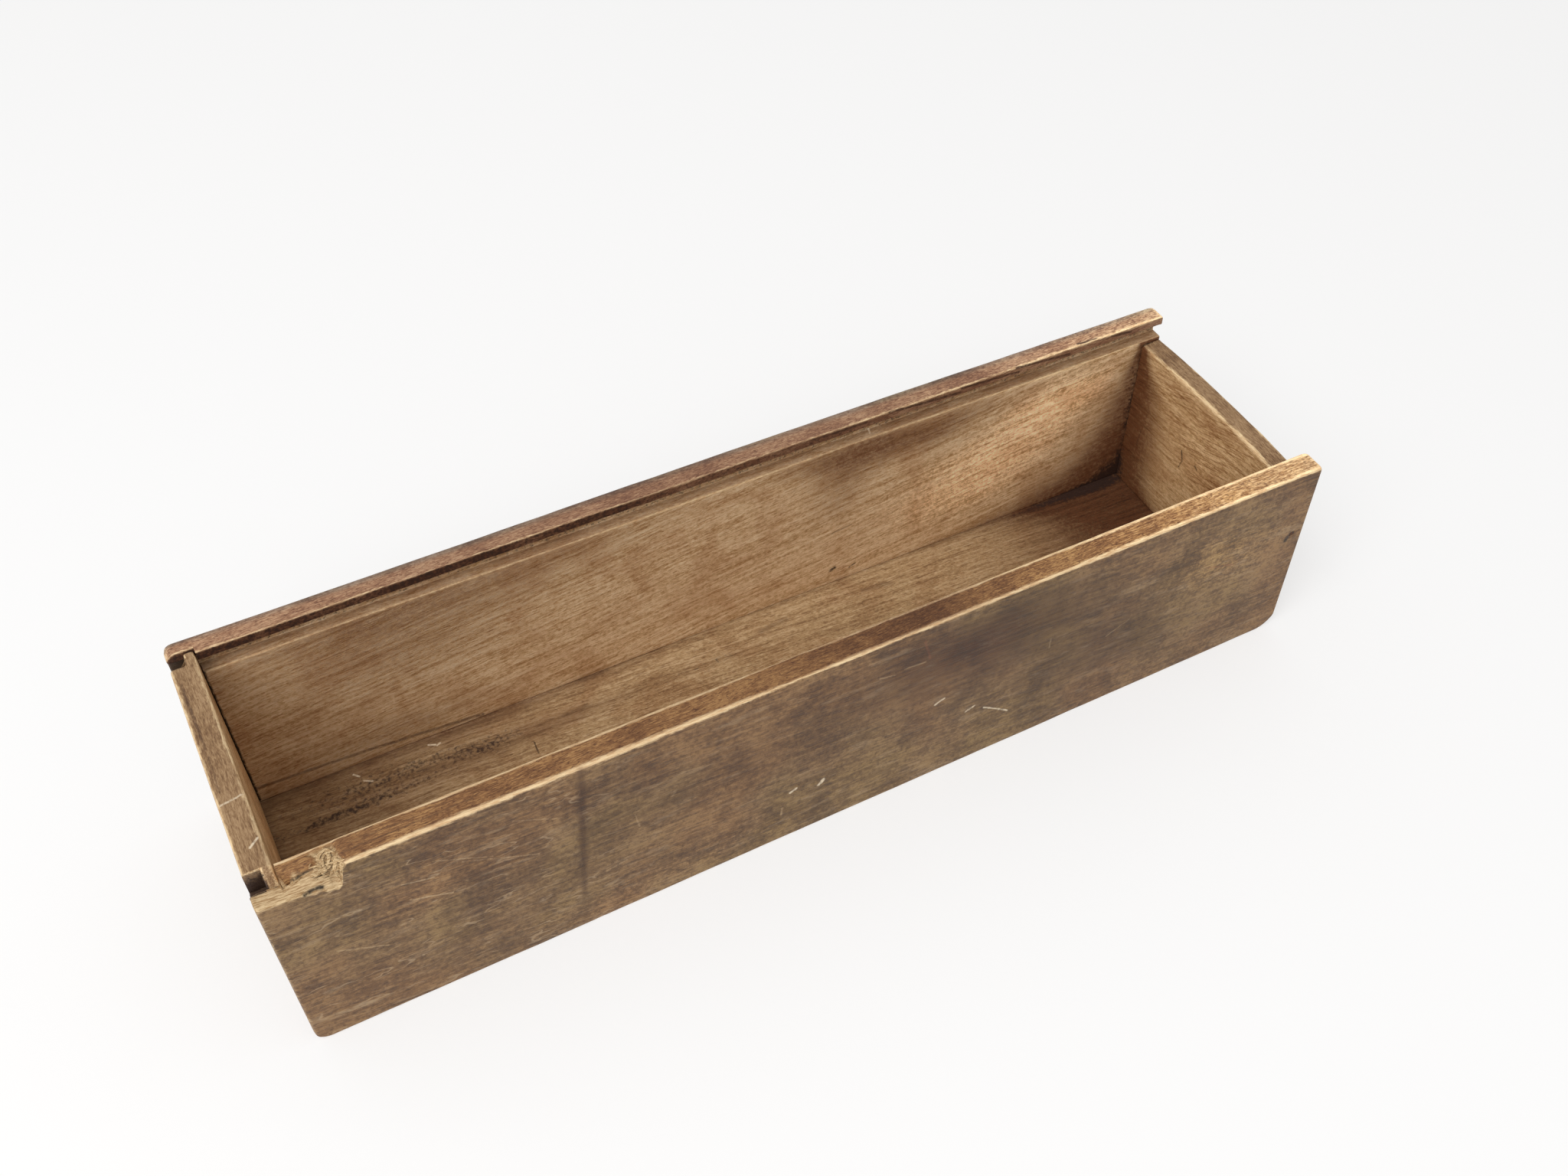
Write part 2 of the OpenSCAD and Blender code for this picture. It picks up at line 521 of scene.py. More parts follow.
# Signs in which each corner of a side board's section moves when the wood shrinks all round.
INTO_WOOD = np.array(
    [(1, 1), (1, -1), (-1, -1), (-1, 1), (-1, 1), (-1, -1), (-1, -1), (-1, 1), (-1, 1), (-1, 1)]
)
# no painted shade or dirt in the far inner corner
NO_CORNER_SHADE_OR_DIRT = ((0.0, 50.0), (0.01, 0.01))


@dataclass
class SideBoard(Board):
    """A long side board, whose sections are (depth from the outer face, height)."""

    outward: int
    heel: float = 3.0
    toe: float = 3.0
    crown: float = 1.9
    crown_right: float = 1.0
    end_edge: float = 0.7
    start_edge: float = 0.8
    lip_corner: float = 1.6
    thinnest_lip: float = 1.1
    thinnest_web: float = 1.1
    rim_blur: float = 0.0
    tongue_cut: float = 2.5
    arris: float = 0.45
    outer_arris: float = 0.8
    outer_wear: float = 0.8
    lip_wear: float = 1.9
    pitch: float = 0.62
    pin_x: float = 106.9
    pin_heights: tuple[float, float] = (9.5, 30.3)
    pin_hollows: tuple[float, float] = (0.36, 0.36)
    pin_reach: float = 1.5
    broad_press: float = 0.05
    small_press: float = 0.03
    top_along: tuple[float, ...] = (-HALF_L, HALF_L)
    top_tone: tuple[float, ...] = (0.0, 0.0)
    top_wear: tuple[float, ...] = (0.0, 0.0)
    wear_size: tuple[float, float] = (1.0, 1.0)
    outer_tone: Patches = ()
    inner_tone: Patches = ()
    inner_grime_and_shade: Patches = ()
    outer_dents: Patches = ()
    # heights, and how far the painted shade and dirt reach out from the far inner corner
    stain_and_shade: Outline = NO_CORNER_SHADE_OR_DIRT
    turn: int = 5
    runs: tuple[int, ...] = (54, 20, 6, 6, 7, 8, 44, 6, 5, 5)

    def stations(self) -> np.ndarray:
        """Places along the box at which a section stands.

        Returns:
            The places, closer together near the ends, the pins and the housing.
        """
        ends = eased(9)
        pins = np.array([0.0, 0.35, 0.7, 1.1, 1.5])
        low, high = HOUSING_X
        return joined_steps(
            fine_steps(-HALF_L, HALF_L, self.pitch),
            -HALF_L + ends * self.arris,
            HALF_L - ends * self.arris,
            HALF_L - ends * self.heel,
            -HALF_L + ends * self.toe,
            self.pin_x - pins,
            self.pin_x + pins,
            np.array([low - STEP, low, high, high + STEP]),
        )

    def lip_depth(self, x: np.ndarray) -> np.ndarray:
        """How far the lip reaches in from the board's outer face."""
        return SIZE.side - LIP_BACK + 0.08 * layered(self.seed + 1, x * 0.06)

    def lip_grime(self, x: np.ndarray) -> np.ndarray:
        """How dirty the lip's inner face is along the board."""
        return np.full_like(x, 0.3)

    def section_keys(self, x: np.ndarray) -> np.ndarray:
        """Corner points of the sections, in the order of Face.

        Args:
            x: Places along the box.

        Returns:
            Points of shape (stations, corners, 2).
        """
        left, right = x + HALF_L, HALF_L - x
        low = arc_drop(left, self.toe) + arc_drop(right, self.heel)
        high = SIZE.height - arc_drop(left, self.crown) - arc_drop(right, self.crown_right)
        high = np.maximum(high, GROOVE_TOP + self.thinnest_lip)
        skin = arc_drop(right, self.end_edge) + arc_drop(left, self.start_edge)
        skin = np.minimum(skin, WEB - self.thinnest_web)
        housed = (x > HOUSING_X[0] - SLACK) & (x < HOUSING_X[1] + SLACK)
        inner = np.where(housed, SIZE.side - SIZE.housing, SIZE.side)
        lip = np.where(housed, SIZE.side - self.tongue_cut, self.lip_depth(x))
        lip = np.maximum(lip, WEB + LEAST)
        rebate = np.maximum(SIZE.floor - 0.02, low + LEAST)
        web, lip_foot, shoulder = (np.full_like(x, level) for level in (WEB, GROOVE_TOP, SHOULDER))
        keys = key_points(
            (skin, low), (skin, high), (lip, high), (lip, lip_foot), (web, lip_foot),
            (web, shoulder), (inner, shoulder), (inner, rebate), (web, rebate), (web, low),
        )
        inset = arc_drop(np.minimum(left, right), self.arris * 0.8)
        return keys + inset[:, None, None] * INTO_WOOD

    def corner_reach(self, x: np.ndarray) -> tuple[np.ndarray, np.ndarray]:
        """How far each corner's curve reaches before and after it.

        Args:
            x: Places along the box.

        Returns:
            Two arrays of shape (stations, corners).
        """
        wander = layered(self.seed + 2, x[:, None] * 0.11, np.arange(len(Face)) * 9.7)
        size = [self.arris, self.outer_arris, 0.45, 0.25, 0.2, 0.2, 0.35, 0.3, 0.2, self.arris]
        reach = np.array(size) * (1.0 + 0.35 * wander)
        return reach, reach.copy()

    def sections(self) -> Cut:
        """The board's sections before it was damaged."""
        x = self.stations()
        return worn_cut(x, self.section_keys(x), *self.corner_reach(x), self.turn, self.runs)

    def carve(self, cut: Cut) -> Cut:
        """Rounds the right end of the lip, seen from above.

        Args:
            cut: The whole board's sections.

        Returns:
            The changed sections.
        """
        middle = SIZE.side / 2
        pull = arc_drop(HALF_L - cut.place, self.lip_corner)
        pull = pull * smooth(cut.height, GROOVE_TOP - 1.0, GROOVE_TOP)
        return cut.moved(cut.depth - pull * np.clip((cut.depth - middle) / middle, 0.0, 1.0), cut.height)

    def hollows(self, cut: Cut) -> np.ndarray:
        """How far the surface is pressed in by handling, pins and dents.

        Args:
            cut: The sections.

        Returns:
            Depths in millimetres, of shape (stations, ring).
        """
        place, depth, height = cut.place, cut.depth, cut.height
        broad = layered(self.seed + 3, place * 0.035, height * 0.09, depth * 0.1)
        small = layered(self.seed + 4, place * 0.22, height * 0.5, depth * 0.5)
        dents = patches_sum(self.outer_dents, place, height)
        for pin_z, hollow in zip(self.pin_heights, self.pin_hollows):
            away = np.hypot(place - self.pin_x, height - pin_z)
            dents = dents + hollow * smooth(away, self.pin_reach, self.pin_reach * 0.5)
        press = self.broad_press * (1.0 + broad) + self.small_press * (1.0 + small)
        return press + cut.window(Face.OUTER) * dents

    def grid(self, cut: Cut) -> np.ndarray:
        """Points of the pressed surface in the box frame.

        Args:
            cut: The sections.

        Returns:
            Points of shape (stations, ring, 3).
        """
        fade = smooth(HALF_L - np.abs(cut.place), 0.0, 1.2)
        pressed = cut.pressed(self.hollows(cut) * fade)
        y = self.outward * (HALF_W - np.maximum(pressed.depth, 0.0))
        return np.stack([cut.place, y, np.clip(pressed.height, 0.0, SIZE.height)], axis=-1)

    def worn(self, cut: Cut) -> np.ndarray:
        """How far the stain is rubbed off the edges.

        Args:
            cut: The sections.

        Returns:
            Values of shape (stations, ring).
        """
        patchy = 0.75 + 0.35 * layered(self.seed + 5, cut.place * 0.09, cut.height * 0.3)
        outer_wear = self.outer_wear * np.interp(cut.place, (-HALF_L, HALF_L), self.wear_size)
        rubbed = ((Face.TOP, outer_wear, 1.0), (Face.LIP, 0.7, self.lip_wear), (Face.INNER, 0.5, 1.1))
        worn = 0.55 * bell(HALF_L - np.abs(cut.place), 0.7) * patchy
        worn = np.maximum(worn, 0.35 * bell(cut.away(Face.OUTER), 0.6))
        for corner, reach, strength in rubbed:
            line = strength * bell(cut.away(corner), reach * patchy)
            worn = np.maximum(worn, line * np.clip(patchy + 0.2, 0.5, 1.0))
        return worn + cut.window(Face.TOP) * np.interp(cut.place, self.top_along, self.top_wear)

    def traits(self, cut: Cut) -> Arrays:
        """What has happened to every point of the surface, and where shade is painted on it.

        Args:
            cut: The sections.

        Returns:
            Attribute arrays.
        """
        place, height = cut.place, cut.height
        inner, lip = cut.window(Face.INNER, 0.01), cut.window(Face.LIP, 0.05)
        groove = cut.window(Face.UNDER_LIP) + cut.window(Face.GROOVE_WALL)
        groove_floor = cut.window(Face.GROOVE_FLOOR)
        lip_grime = self.lip_grime(place) * lip
        # painted shade and dirt on the inner face and groove left of the housing, in the hole beside the
        # tongue
        hidden = (inner + groove + groove_floor) * smooth(height, *DIRT_AND_SHADE_HEIGHTS) * (place < HOUSING_X[0])
        # the groove's wall and the lip's underside get painted shade and some dirt
        grime_and_shade = 0.45 * groove + hidden + 0.6 * lip_grime
        grime_and_shade = grime_and_shade + inner * patches_sum(self.inner_grime_and_shade, place, height)
        # the inner face is painted darker just above the floor, where shade falls in the corner
        tone = patches_sum(self.inner_tone, place, height) - 0.25 * np.exp(END_FOOT - height)
        # painted shade and dirt in the far right corner
        tone = inner * (tone - corner_shade_and_dirt(RIGHT_IN_X - place, height, self.stain_and_shade))
        tone = tone + cut.window(Face.OUTER) * patches_sum(self.outer_tone, place, height)
        tone = tone + cut.window(Face.TOP) * np.interp(place, self.top_along, self.top_tone)
        outside = cut.window(Face.OUTER) + cut.window(Face.BOTTOM)
        rim = smooth(cut.spots, Face.TOP - 0.03, Face.TOP + 0.02 + self.rim_blur)
        return {
            Trait.WORN: self.worn(cut),
            Trait.GRIME_AND_SHADE: np.clip(grime_and_shade, 0.0, 1.0),
            Trait.OUTSIDE: np.maximum(outside, cut.between(Face.OUTER + 0.9, Face.TOP + 0.9)),
            Trait.RIM: rim * smooth(cut.spots, Face.UNDER_LIP + 0.02, Face.UNDER_LIP - 0.02),
            # the groove's floor under the lip is painted darker as shade
            Trait.TONE: np.clip(tone - 0.5 * groove_floor - 0.8 * lip_grime, -1.0, 1.0),
        }


@dataclass
class BrokenSideBoard(SideBoard):
    """The front side board, whose upper left corner has split away."""

    crown: float = 0.3
    fibre_start: float = -98.9
    fibre_end: float = -94.6
    split_depth: float = 2.35
    lens_x: float = -100.6
    break_root: float = 36.0
    deepest: float = 6.5
    break_along: tuple[float, ...] = (-110.0, -105.0, -102.0, -99.0, -97.2, -96.2, -95.2)
    outer_loss: tuple[float, ...] = (3.2, 3.6, 4.0, 4.3, 5.2, 4.4, 0.8)
    root_loss: tuple[float, ...] = (2.9, 3.1, 2.2, 1.5, 1.1, 0.8, 0.2)

    def stations(self) -> np.ndarray:
        """Places of the sections, closest together along the break."""
        near = fine_steps(-HALF_L, self.fibre_end + 1.0, 0.22)
        return joined_steps(super().stations(), near, apart=NEAREST)

    def lip_depth(self, x: np.ndarray) -> np.ndarray:
        """The lip reaches nowhere beyond the tongue, where it is lost."""
        return np.where(x < TONGUE_X + 0.6, 0.0, super().lip_depth(x))

    def break_depth(self, x: np.ndarray, depth: np.ndarray) -> np.ndarray:
        """How far the broken top lies below the sound one.

        Outside the split the wood falls away outwards on a slope. A crack parts that slope
        from the strip of lip that is left, and both end in a tangle of torn fibres.

        Args:
            x: Place of each point along the box.
            depth: Its depth from the outer face.

        Returns:
            Depth of the loss in millimetres.
        """
        seed = self.seed + 8
        rough = layered(seed, x * 0.9, depth * 2.4)
        outer = np.interp(x, self.break_along, self.outer_loss)
        root = np.interp(x, self.break_along, self.root_loss)
        t = np.clip(depth / self.split_depth, 0.0, 1.0)
        lens = np.exp(-(((x - self.lens_x) / 1.3) ** 2) - ((depth - 0.3) / 0.28) ** 2)
        slope = outer * (1 - t) + root * t + 0.14 * rough + 0.8 * lens
        strip = 0.10 + 0.10 * layered(seed, x * 0.35 + 40.0, depth * 1.1)
        strip = np.where(x < LEFT_IN_X + 0.2, root + 0.1 * rough, strip)
        crack_at = self.split_depth + 0.25 * value_noise(seed, x * 0.8, np.full_like(x, 3.0))
        side = smooth(depth, crack_at - 0.12, crack_at + 0.12)
        crack = bell(depth - crack_at, 0.2) * 0.8
        crack = crack * smooth(x, -105.2, -104.2) * smooth(x, -97.2, -98.8)
        tangle = self.tangle(x, depth)
        torn = 0.9 + 0.8 * rough + np.clip(2.4 - depth, 0.0, None) * outer / 2.4
        loss = (slope * (1 - side) + strip * side + crack) * (1 - 0.8 * tangle) + torn * 0.8 * tangle
        whole = smooth(x, self.fibre_end + 0.4, self.fibre_end - 1.0)
        over_groove = (depth > WEB + 0.08) & (x > LEFT_IN_X)
        return np.clip(loss * whole, 0.0, np.where(over_groove, SIZE.lip - 0.25, self.deepest))

    def tangle(self, x: np.ndarray, depth: np.ndarray) -> np.ndarray:
        """Weight of each point within the ragged patch of torn fibres.

        Args:
            x: Place of each point along the box.
            depth: Its depth from the outer face.

        Returns:
            Weights in 0..1.
        """
        stray = 0.9 * layered(self.seed + 9, x * 0.6, depth * 0.9)
        low, high = self.fibre_start + stray, self.fibre_end - 0.7 + stray
        return smooth(x - low, -0.5, 0.5) * smooth(high - x, -0.5, 0.5) * smooth(depth, 5.0, 4.4)

    def carve(self, cut: Cut) -> Cut:
        """Lowers the outer face's top and the top itself by the depth of the break.

        Args:
            cut: The whole board's sections.

        Returns:
            The changed sections.
        """
        cut = super().carve(cut)
        place, height = cut.place, cut.height
        share = np.clip((height - self.break_root) / (SIZE.height - self.break_root), 0.0, 1.0)
        edge = self.break_depth(place, np.zeros_like(place)) * share
        on_top = cut.between(Face.TOP - 0.06, Face.LIP + 0.06)
        lower = np.where(on_top, self.break_depth(place, cut.depth), 0.0)
        lower = np.where(cut.spots <= Face.TOP - 0.06, edge, lower)
        stump = SIZE.height - self.break_depth(place, np.full_like(place, WEB)) - 0.25
        rest = cut.between(Face.LIP + 0.05, Face.GROOVE_FLOOR - 0.05) & (place < LEFT_IN_X + 0.15)
        lowered = height - lower
        return cut.moved(cut.depth, np.where(rest, np.minimum(lowered, stump), lowered))

    def traits(self, cut: Cut) -> Arrays:
        """Adds the bare wood of the break to what every side board shows.

        Args:
            cut: The sections.

        Returns:
            Attribute arrays.
        """
        found = super().traits(cut)
        place, depth = cut.place, cut.depth
        on_lip = cut.between(Face.LIP, Face.UNDER_LIP + 0.05) & (place < LEFT_IN_X)
        on_top = cut.between(Face.TOP - 0.045, Face.LIP + 0.06) | on_lip
        bare = smooth(depth, self.split_depth + 0.1, self.split_depth - 0.1)
        bare = np.maximum(np.maximum(bare, place < LEFT_IN_X + 0.1), self.tangle(place, depth))
        bare = bare * smooth(self.break_depth(place, depth), 0.15, 0.4)
        found[Trait.FRESH] = on_top * np.clip(bare, 0.0, 1.0)
        found[Trait.WORN] = found[Trait.WORN] * (1 - found[Trait.FRESH])
        return found


@dataclass
class RoundedSideBoard(SideBoard):
    """The back side board, its upper outer edge worn well round, most at the ends."""

    start_lip: float = 4.1
    round_along: tuple[float, ...] = (-110.0, -70.0, -20.0, 40.0, 80.0, 110.0)
    round_down: tuple[float, ...] = (5.0, 3.4, 2.2, 2.0, 3.0, 3.6)
    round_across: tuple[float, ...] = (1.7, 1.9, 1.7, 1.5, 1.8, 2.0)
    grime_along: tuple[float, ...] = (-110.0, -30.0, 5.0, 60.0, 110.0)
    grime_level: tuple[float, ...] = (1.0, 0.95, 0.6, 0.3, 0.2)

    def corner_reach(self, x: np.ndarray) -> tuple[np.ndarray, np.ndarray]:
        """The outer edge's curve reaches further towards both ends.

        Args:
            x: Places along the box.

        Returns:
            Two arrays of shape (stations, corners).
        """
        before, after = super().corner_reach(x)
        wander = 1.0 + 0.12 * layered(self.seed + 12, x * 0.05)
        before[:, Face.TOP] = np.interp(x, self.round_along, self.round_down) * wander
        after[:, Face.TOP] = np.interp(x, self.round_along, self.round_across) * wander
        return before, after

    def lip_depth(self, x: np.ndarray) -> np.ndarray:
        """The lip is thin and ragged along its middle.

        Args:
            x: Places along the box.

        Returns:
            How far it reaches in from the outer face.
        """
        ragged = np.abs(layered(self.seed + 13, x * 0.35, layers=4))
        thin = smooth(x, -95.0, -70.0) * smooth(x, 30.0, 10.0)
        lip = super().lip_depth(x) - thin * (0.12 + 0.12 * ragged)
        return np.where(x < TONGUE_X, self.start_lip, lip)

    def lip_grime(self, x: np.ndarray) -> np.ndarray:
        """Nearly black towards the left end, browner with dark cracks towards the right."""
        level = np.interp(x, self.grime_along, self.grime_level)
        return level + 0.22 * layered(self.seed + 14, x * 0.12)


@dataclass
class TornFibres:
    """Splinters and curled fibres left where the front board's corner split away.

    Each is a four-sided tube whose heading turns evenly along it and whose width falls as
    (1 - t)^taper towards its tip. The strands are the few thick ones, each through four points.
    """

    name: str = "torn_fibres"
    seed: int = 600
    count: int = 64
    steps: int = 12
    centre: Point = (-96.9, -28.0, 47.4)
    spread: Point = (1.5, 2.0, 0.5)
    length: tuple[float, float] = (1.1, 3.4)
    width: tuple[float, float] = (0.12, 0.32)
    heading: tuple[float, float] = (1.6, 4.9)
    curl: float = 1.9
    rise: tuple[float, float] = (-0.25, 0.45)
    taper: float = 0.6
    strands: tuple[tuple[Point, ...], ...] = (
        ((-98.6, -27.6, 47.6), (-97.7, -26.7, 48.1), (-96.5, -26.2, 48.2), (-95.4, -27.6, 48.0)),
        ((-96.6, -26.6, 48.0), (-96.4, -28.0, 48.2), (-97.2, -29.0, 47.7), (-98.1, -29.5, 46.9)),
        ((-95.6, -28.8, 48.1), (-96.4, -29.9, 47.3), (-96.4, -30.3, 45.8), (-96.0, -30.3, 44.3)),
        ((-94.9, -29.5, 48.2), (-95.6, -30.3, 46.9), (-95.5, -30.3, 45.3), (-96.3, -30.3, 43.9)),
        ((-98.9, -29.4, 46.9), (-98.0, -29.9, 46.2), (-97.2, -30.0, 46.2), (-96.3, -29.9, 46.6)),
        ((-95.9, -29.2, 48.1), (-95.0, -29.5, 48.2), (-94.0, -29.9, 48.2), (-93.2, -30.2, 48.1)),
    )
    strand_width: float = 0.34
    strand_taper: float = 0.4
    lowest: Point = (-109.5, -30.45, 43.0)
    highest: Point = (-90.0, -25.0, 48.45)

    def paths(self) -> tuple[np.ndarray, np.ndarray, np.ndarray]:
        """Middle lines, headings and half widths of all the fibres.

        Returns:
            Points of shape (fibres, steps, 3), and angles and half widths (fibres, steps).
        """
        chance = np.random.default_rng(self.seed)
        single = (self.count, 1)
        t = np.linspace(0.0, 1.0, self.steps)[None, :]
        start = np.array(self.centre) + np.array(self.spread) * chance.uniform(-1.0, 1.0, (self.count, 3))
        angle = chance.uniform(*self.heading, single) + chance.uniform(-self.curl, self.curl, single) * t
        step = chance.uniform(*self.length, single) / self.steps
        rise = chance.uniform(*self.rise, single) * (1.0 - 1.3 * t)
        moves = np.stack([np.cos(angle) * step, np.sin(angle) * step, rise * step], axis=-1)
        path = start[:, None, :] + np.cumsum(moves, axis=1)
        half = chance.uniform(*self.width, single) * (1.02 - t) ** self.taper
        knots = np.array(self.strands)
        number = np.arange(knots.shape[1])
        u = t[0] * number[-1]
        weights = np.stack([np.interp(u, number, row) for row in np.eye(len(number))], axis=-1)
        thick = np.einsum("tk,skc->stc", weights, knots)
        turn = np.gradient(thick, axis=1)
        thick_angle = np.unwrap(np.arctan2(turn[..., 1], turn[..., 0]), axis=1)
        thick_half = np.broadcast_to(self.strand_width * (1.05 - t) ** self.strand_taper, thick_angle.shape)
        pairs = ((path, thick), (angle, thick_angle), (half, thick_half))
        return tuple(np.concatenate(pair) for pair in pairs)

    def build(self) -> Piece:
        """Builds the fibres.

        Returns:
            The piece, riding on the body.
        """
        path, angle, half = self.paths()
        side = np.stack([-np.sin(angle), np.cos(angle), np.zeros_like(angle)], axis=-1)
        side = side * half[..., None]
        upward = np.array([0.0, 0.0, 0.75]) * half[..., None]
        grid = np.stack([path + side, path + upward, path - side, path - upward], axis=2)
        index = np.arange(grid.size // 3).reshape(grid.shape[:3])
        faces = np.concatenate([tube_quads(index), index[:, 0, ::-1], index[:, -1]])[:, ::-1]
        grid = np.clip(grid, self.lowest, self.highest)
        return new_piece(self.name, grid, faces.tolist(), {Trait.FRESH: 1.0})


@dataclass
class EndBoard(Board):
    """An end board, whose sections across the box are (place along the box, height)."""

    outer_x: float
    inner_x: float
    top: float
    reach_y: float
    arris: float = 0.5
    top_arris: float = 0.8
    inner_arris: float = 0.9
    end_arris: float = 0.3
    swell: float = 0.0
    rim_tone: float = 0.0
    broad_press: float = 0.04
    small_press: float = 0.025
    pitch: float = 0.45
    inner_tone: Patches = ()
    inner_grime_and_shade: Patches = ()
    # heights, and how far the painted shade and dirt reach out from the far inner corner
    stain_and_shade: Outline = NO_CORNER_SHADE_OR_DIRT
    turn: int = 5
    runs: tuple[int, ...] = (60, 20, 60, 8)

    @property
    def clockwise(self) -> float:
        """1 where the sections run clockwise, seen along Y, and -1 where they don't."""
        return 1.0 if self.outer_x < self.inner_x else -1.0

    def stations(self) -> np.ndarray:
        """Places across the box at which a section stands."""
        steps, ends = fine_steps(-self.reach_y, self.reach_y, self.pitch), eased(6) * self.end_arris
        return joined_steps(steps, -self.reach_y + ends, self.reach_y - ends)

    def outline(self, y: np.ndarray) -> tuple[np.ndarray, np.ndarray]:
        """Place of the outer face along the box and height of the top, at places across it."""
        crown = self.swell * (1.0 - (y / self.reach_y) ** 2) + 0.12 * layered(self.seed, y * 0.08)
        return np.full_like(y, self.outer_x), self.top - 0.12 + crown

    def sections(self) -> Cut:
        """The board's sections before it was damaged.

        Returns:
            The sections.
        """
        y = self.stations()
        outer, top = self.outline(y)
        inset = arc_drop(self.reach_y - np.abs(y), self.end_arris)
        outer, inner = outer + self.clockwise * inset, self.inner_x - self.clockwise * inset
        top, foot = top - inset, SIZE.floor + 0.02 + inset
        keys = key_points((outer, foot), (outer, top), (inner, top), (inner, foot))
        wander = layered(self.seed + 2, y[:, None] * 0.15, np.arange(len(Edge)) * 7.7)
        size = np.array([self.arris, self.top_arris, self.inner_arris, self.arris])
        reach = size * (1.0 + 0.3 * wander)
        return worn_cut(y, keys, reach, reach, self.turn, self.runs)

    def grid(self, cut: Cut) -> np.ndarray:
        """Points of the pressed surface in the box frame.

        Args:
            cut: The sections.

        Returns:
            Points of shape (stations, ring, 3).
        """
        place, height = cut.place, cut.height
        broad = layered(self.seed + 3, place * 0.06, height * 0.06)
        small = layered(self.seed + 4, place * 0.3, height * 0.6, cut.depth)
        press = (self.broad_press * (1.0 + broad) + self.small_press * (1.0 + small)) * self.clockwise
        pressed = cut.pressed(press * smooth(self.reach_y - np.abs(place), 0.0, 1.0))
        return np.stack([pressed.depth, place, pressed.height], axis=-1)

    def traits(self, cut: Cut) -> Arrays:
        """What has happened to every point of the surface, and where shade is painted on it.

        Args:
            cut: The sections.

        Returns:
            Attribute arrays.
        """
        y, height = cut.place, cut.height
        inner = cut.window(Edge.INNER)
        patchy = 0.8 + 0.35 * layered(self.seed + 5, y * 0.18, height * 0.3)
        edges = ((Edge.TOP, self.top_arris), (Edge.INNER, self.inner_arris))
        worn = reduce(np.maximum, (bell(cut.away(edge), reach * patchy) for edge, reach in edges))
        # the inner face is painted darker beside the side walls and the floor, where shade falls in the
        # corners
        shade_near_wall = np.exp((np.abs(y) - self.reach_y) / 1.2)
        shade_near_floor = np.exp((END_FOOT - height) / 1.5)
        tone = patches_sum(self.inner_tone, y, height) - 0.5 * np.maximum(shade_near_wall, shade_near_floor)
        # painted shade and dirt in the far corner by the back wall
        tone = inner * (tone - corner_shade_and_dirt(INNER_Y - y, height, self.stain_and_shade))
        return {
            Trait.WORN: np.maximum(0.9 * patchy * worn, 0.0),
            Trait.GRIME_AND_SHADE: np.clip(inner * patches_sum(self.inner_grime_and_shade, y, height), 0.0, 1.0),
            Trait.OUTSIDE: cut.window(Edge.OUTER),
            Trait.RIM: cut.window(Edge.TOP),
            Trait.TONE: np.clip(tone + self.rim_tone * cut.window(Edge.TOP), -1.0, 1.0),
        }


@dataclass
class TonguedEndBoard(EndBoard):
    """The left end board, whose inner layer runs on into the side boards as a tongue."""

    body_y: float = 24.8
    corner_at: tuple[float, float] = (23.1, 24.3)
    corner_loss: float = 4.0
    tip_at: tuple[float, ...] = (-27.4, -27.0, -26.4, -25.6, -24.9)
    tip_loss: tuple[float, ...] = (3.3, 2.7, 1.7, 0.8, 0.1)
    back_tip_at: tuple[float, float] = (26.0, 26.8)
    back_tip_loss: float = 1.2

    def stations(self) -> np.ndarray:
        """Places of the sections, doubled where the outer layer stops."""
        step = np.array([-self.body_y - STEP, -self.body_y, self.body_y, self.body_y + STEP])
        return joined_steps(super().stations(), step, fine_steps(self.tip_at[0], -24.0, 0.15), apart=NEAREST)

    def outline(self, y: np.ndarray) -> tuple[np.ndarray, np.ndarray]:
        """The outer layer stops at the side boards, and the ends of the tongue are worn down.

        Args:
            y: Places across the box.

        Returns:
            The outer face's place along the box, and the height of the top.
        """
        outer, top = super().outline(y)
        outer = np.where(np.abs(y) > self.body_y + SLACK, TONGUE_X, outer)
        top = top - np.interp(y, self.tip_at, self.tip_loss)
        return outer, top - smooth(y, *self.back_tip_at) * self.back_tip_loss

    def carve(self, cut: Cut) -> Cut:
        """Lowers the outer layer's back corner, which has broken off beside the groove.

        Args:
            cut: The whole board's sections.

        Returns:
            The changed sections.
        """
        outer_layer = smooth(cut.depth, TONGUE_X + 0.1, TONGUE_X - 0.3)
        near_top = smooth(cut.height, SIZE.height - 9.0, SIZE.height - 0.5)
        loss = self.corner_loss * smooth(cut.place, *self.corner_at) * outer_layer * near_top
        return cut.moved(cut.depth, cut.height - loss)

    def traits(self, cut: Cut) -> Arrays:
        """Adds dirt and painted shade in the two holes beside the tongue.

        Args:
            cut: The sections.

        Returns:
            Attribute arrays.
        """
        found = super().traits(cut)
        y, height = cut.place, cut.height
        hole = (np.abs(y) > self.body_y - SLACK) | (y > self.body_y - 1.2)
        hole = hole & (cut.depth < TONGUE_X + 0.4) & (height < SIZE.height - 0.8)
        # the holes are recesses: their darkening is dirt and painted shade
        dirt_and_shade = hole * smooth(height, *DIRT_AND_SHADE_HEIGHTS) * smooth(height, SIZE.height + 1.0, SIZE.height - 4.5)
        found[Trait.GRIME_AND_SHADE] = np.maximum(found[Trait.GRIME_AND_SHADE], dirt_and_shade)
        found[Trait.WORN] = found[Trait.WORN] * (1.0 - dirt_and_shade)
        return found


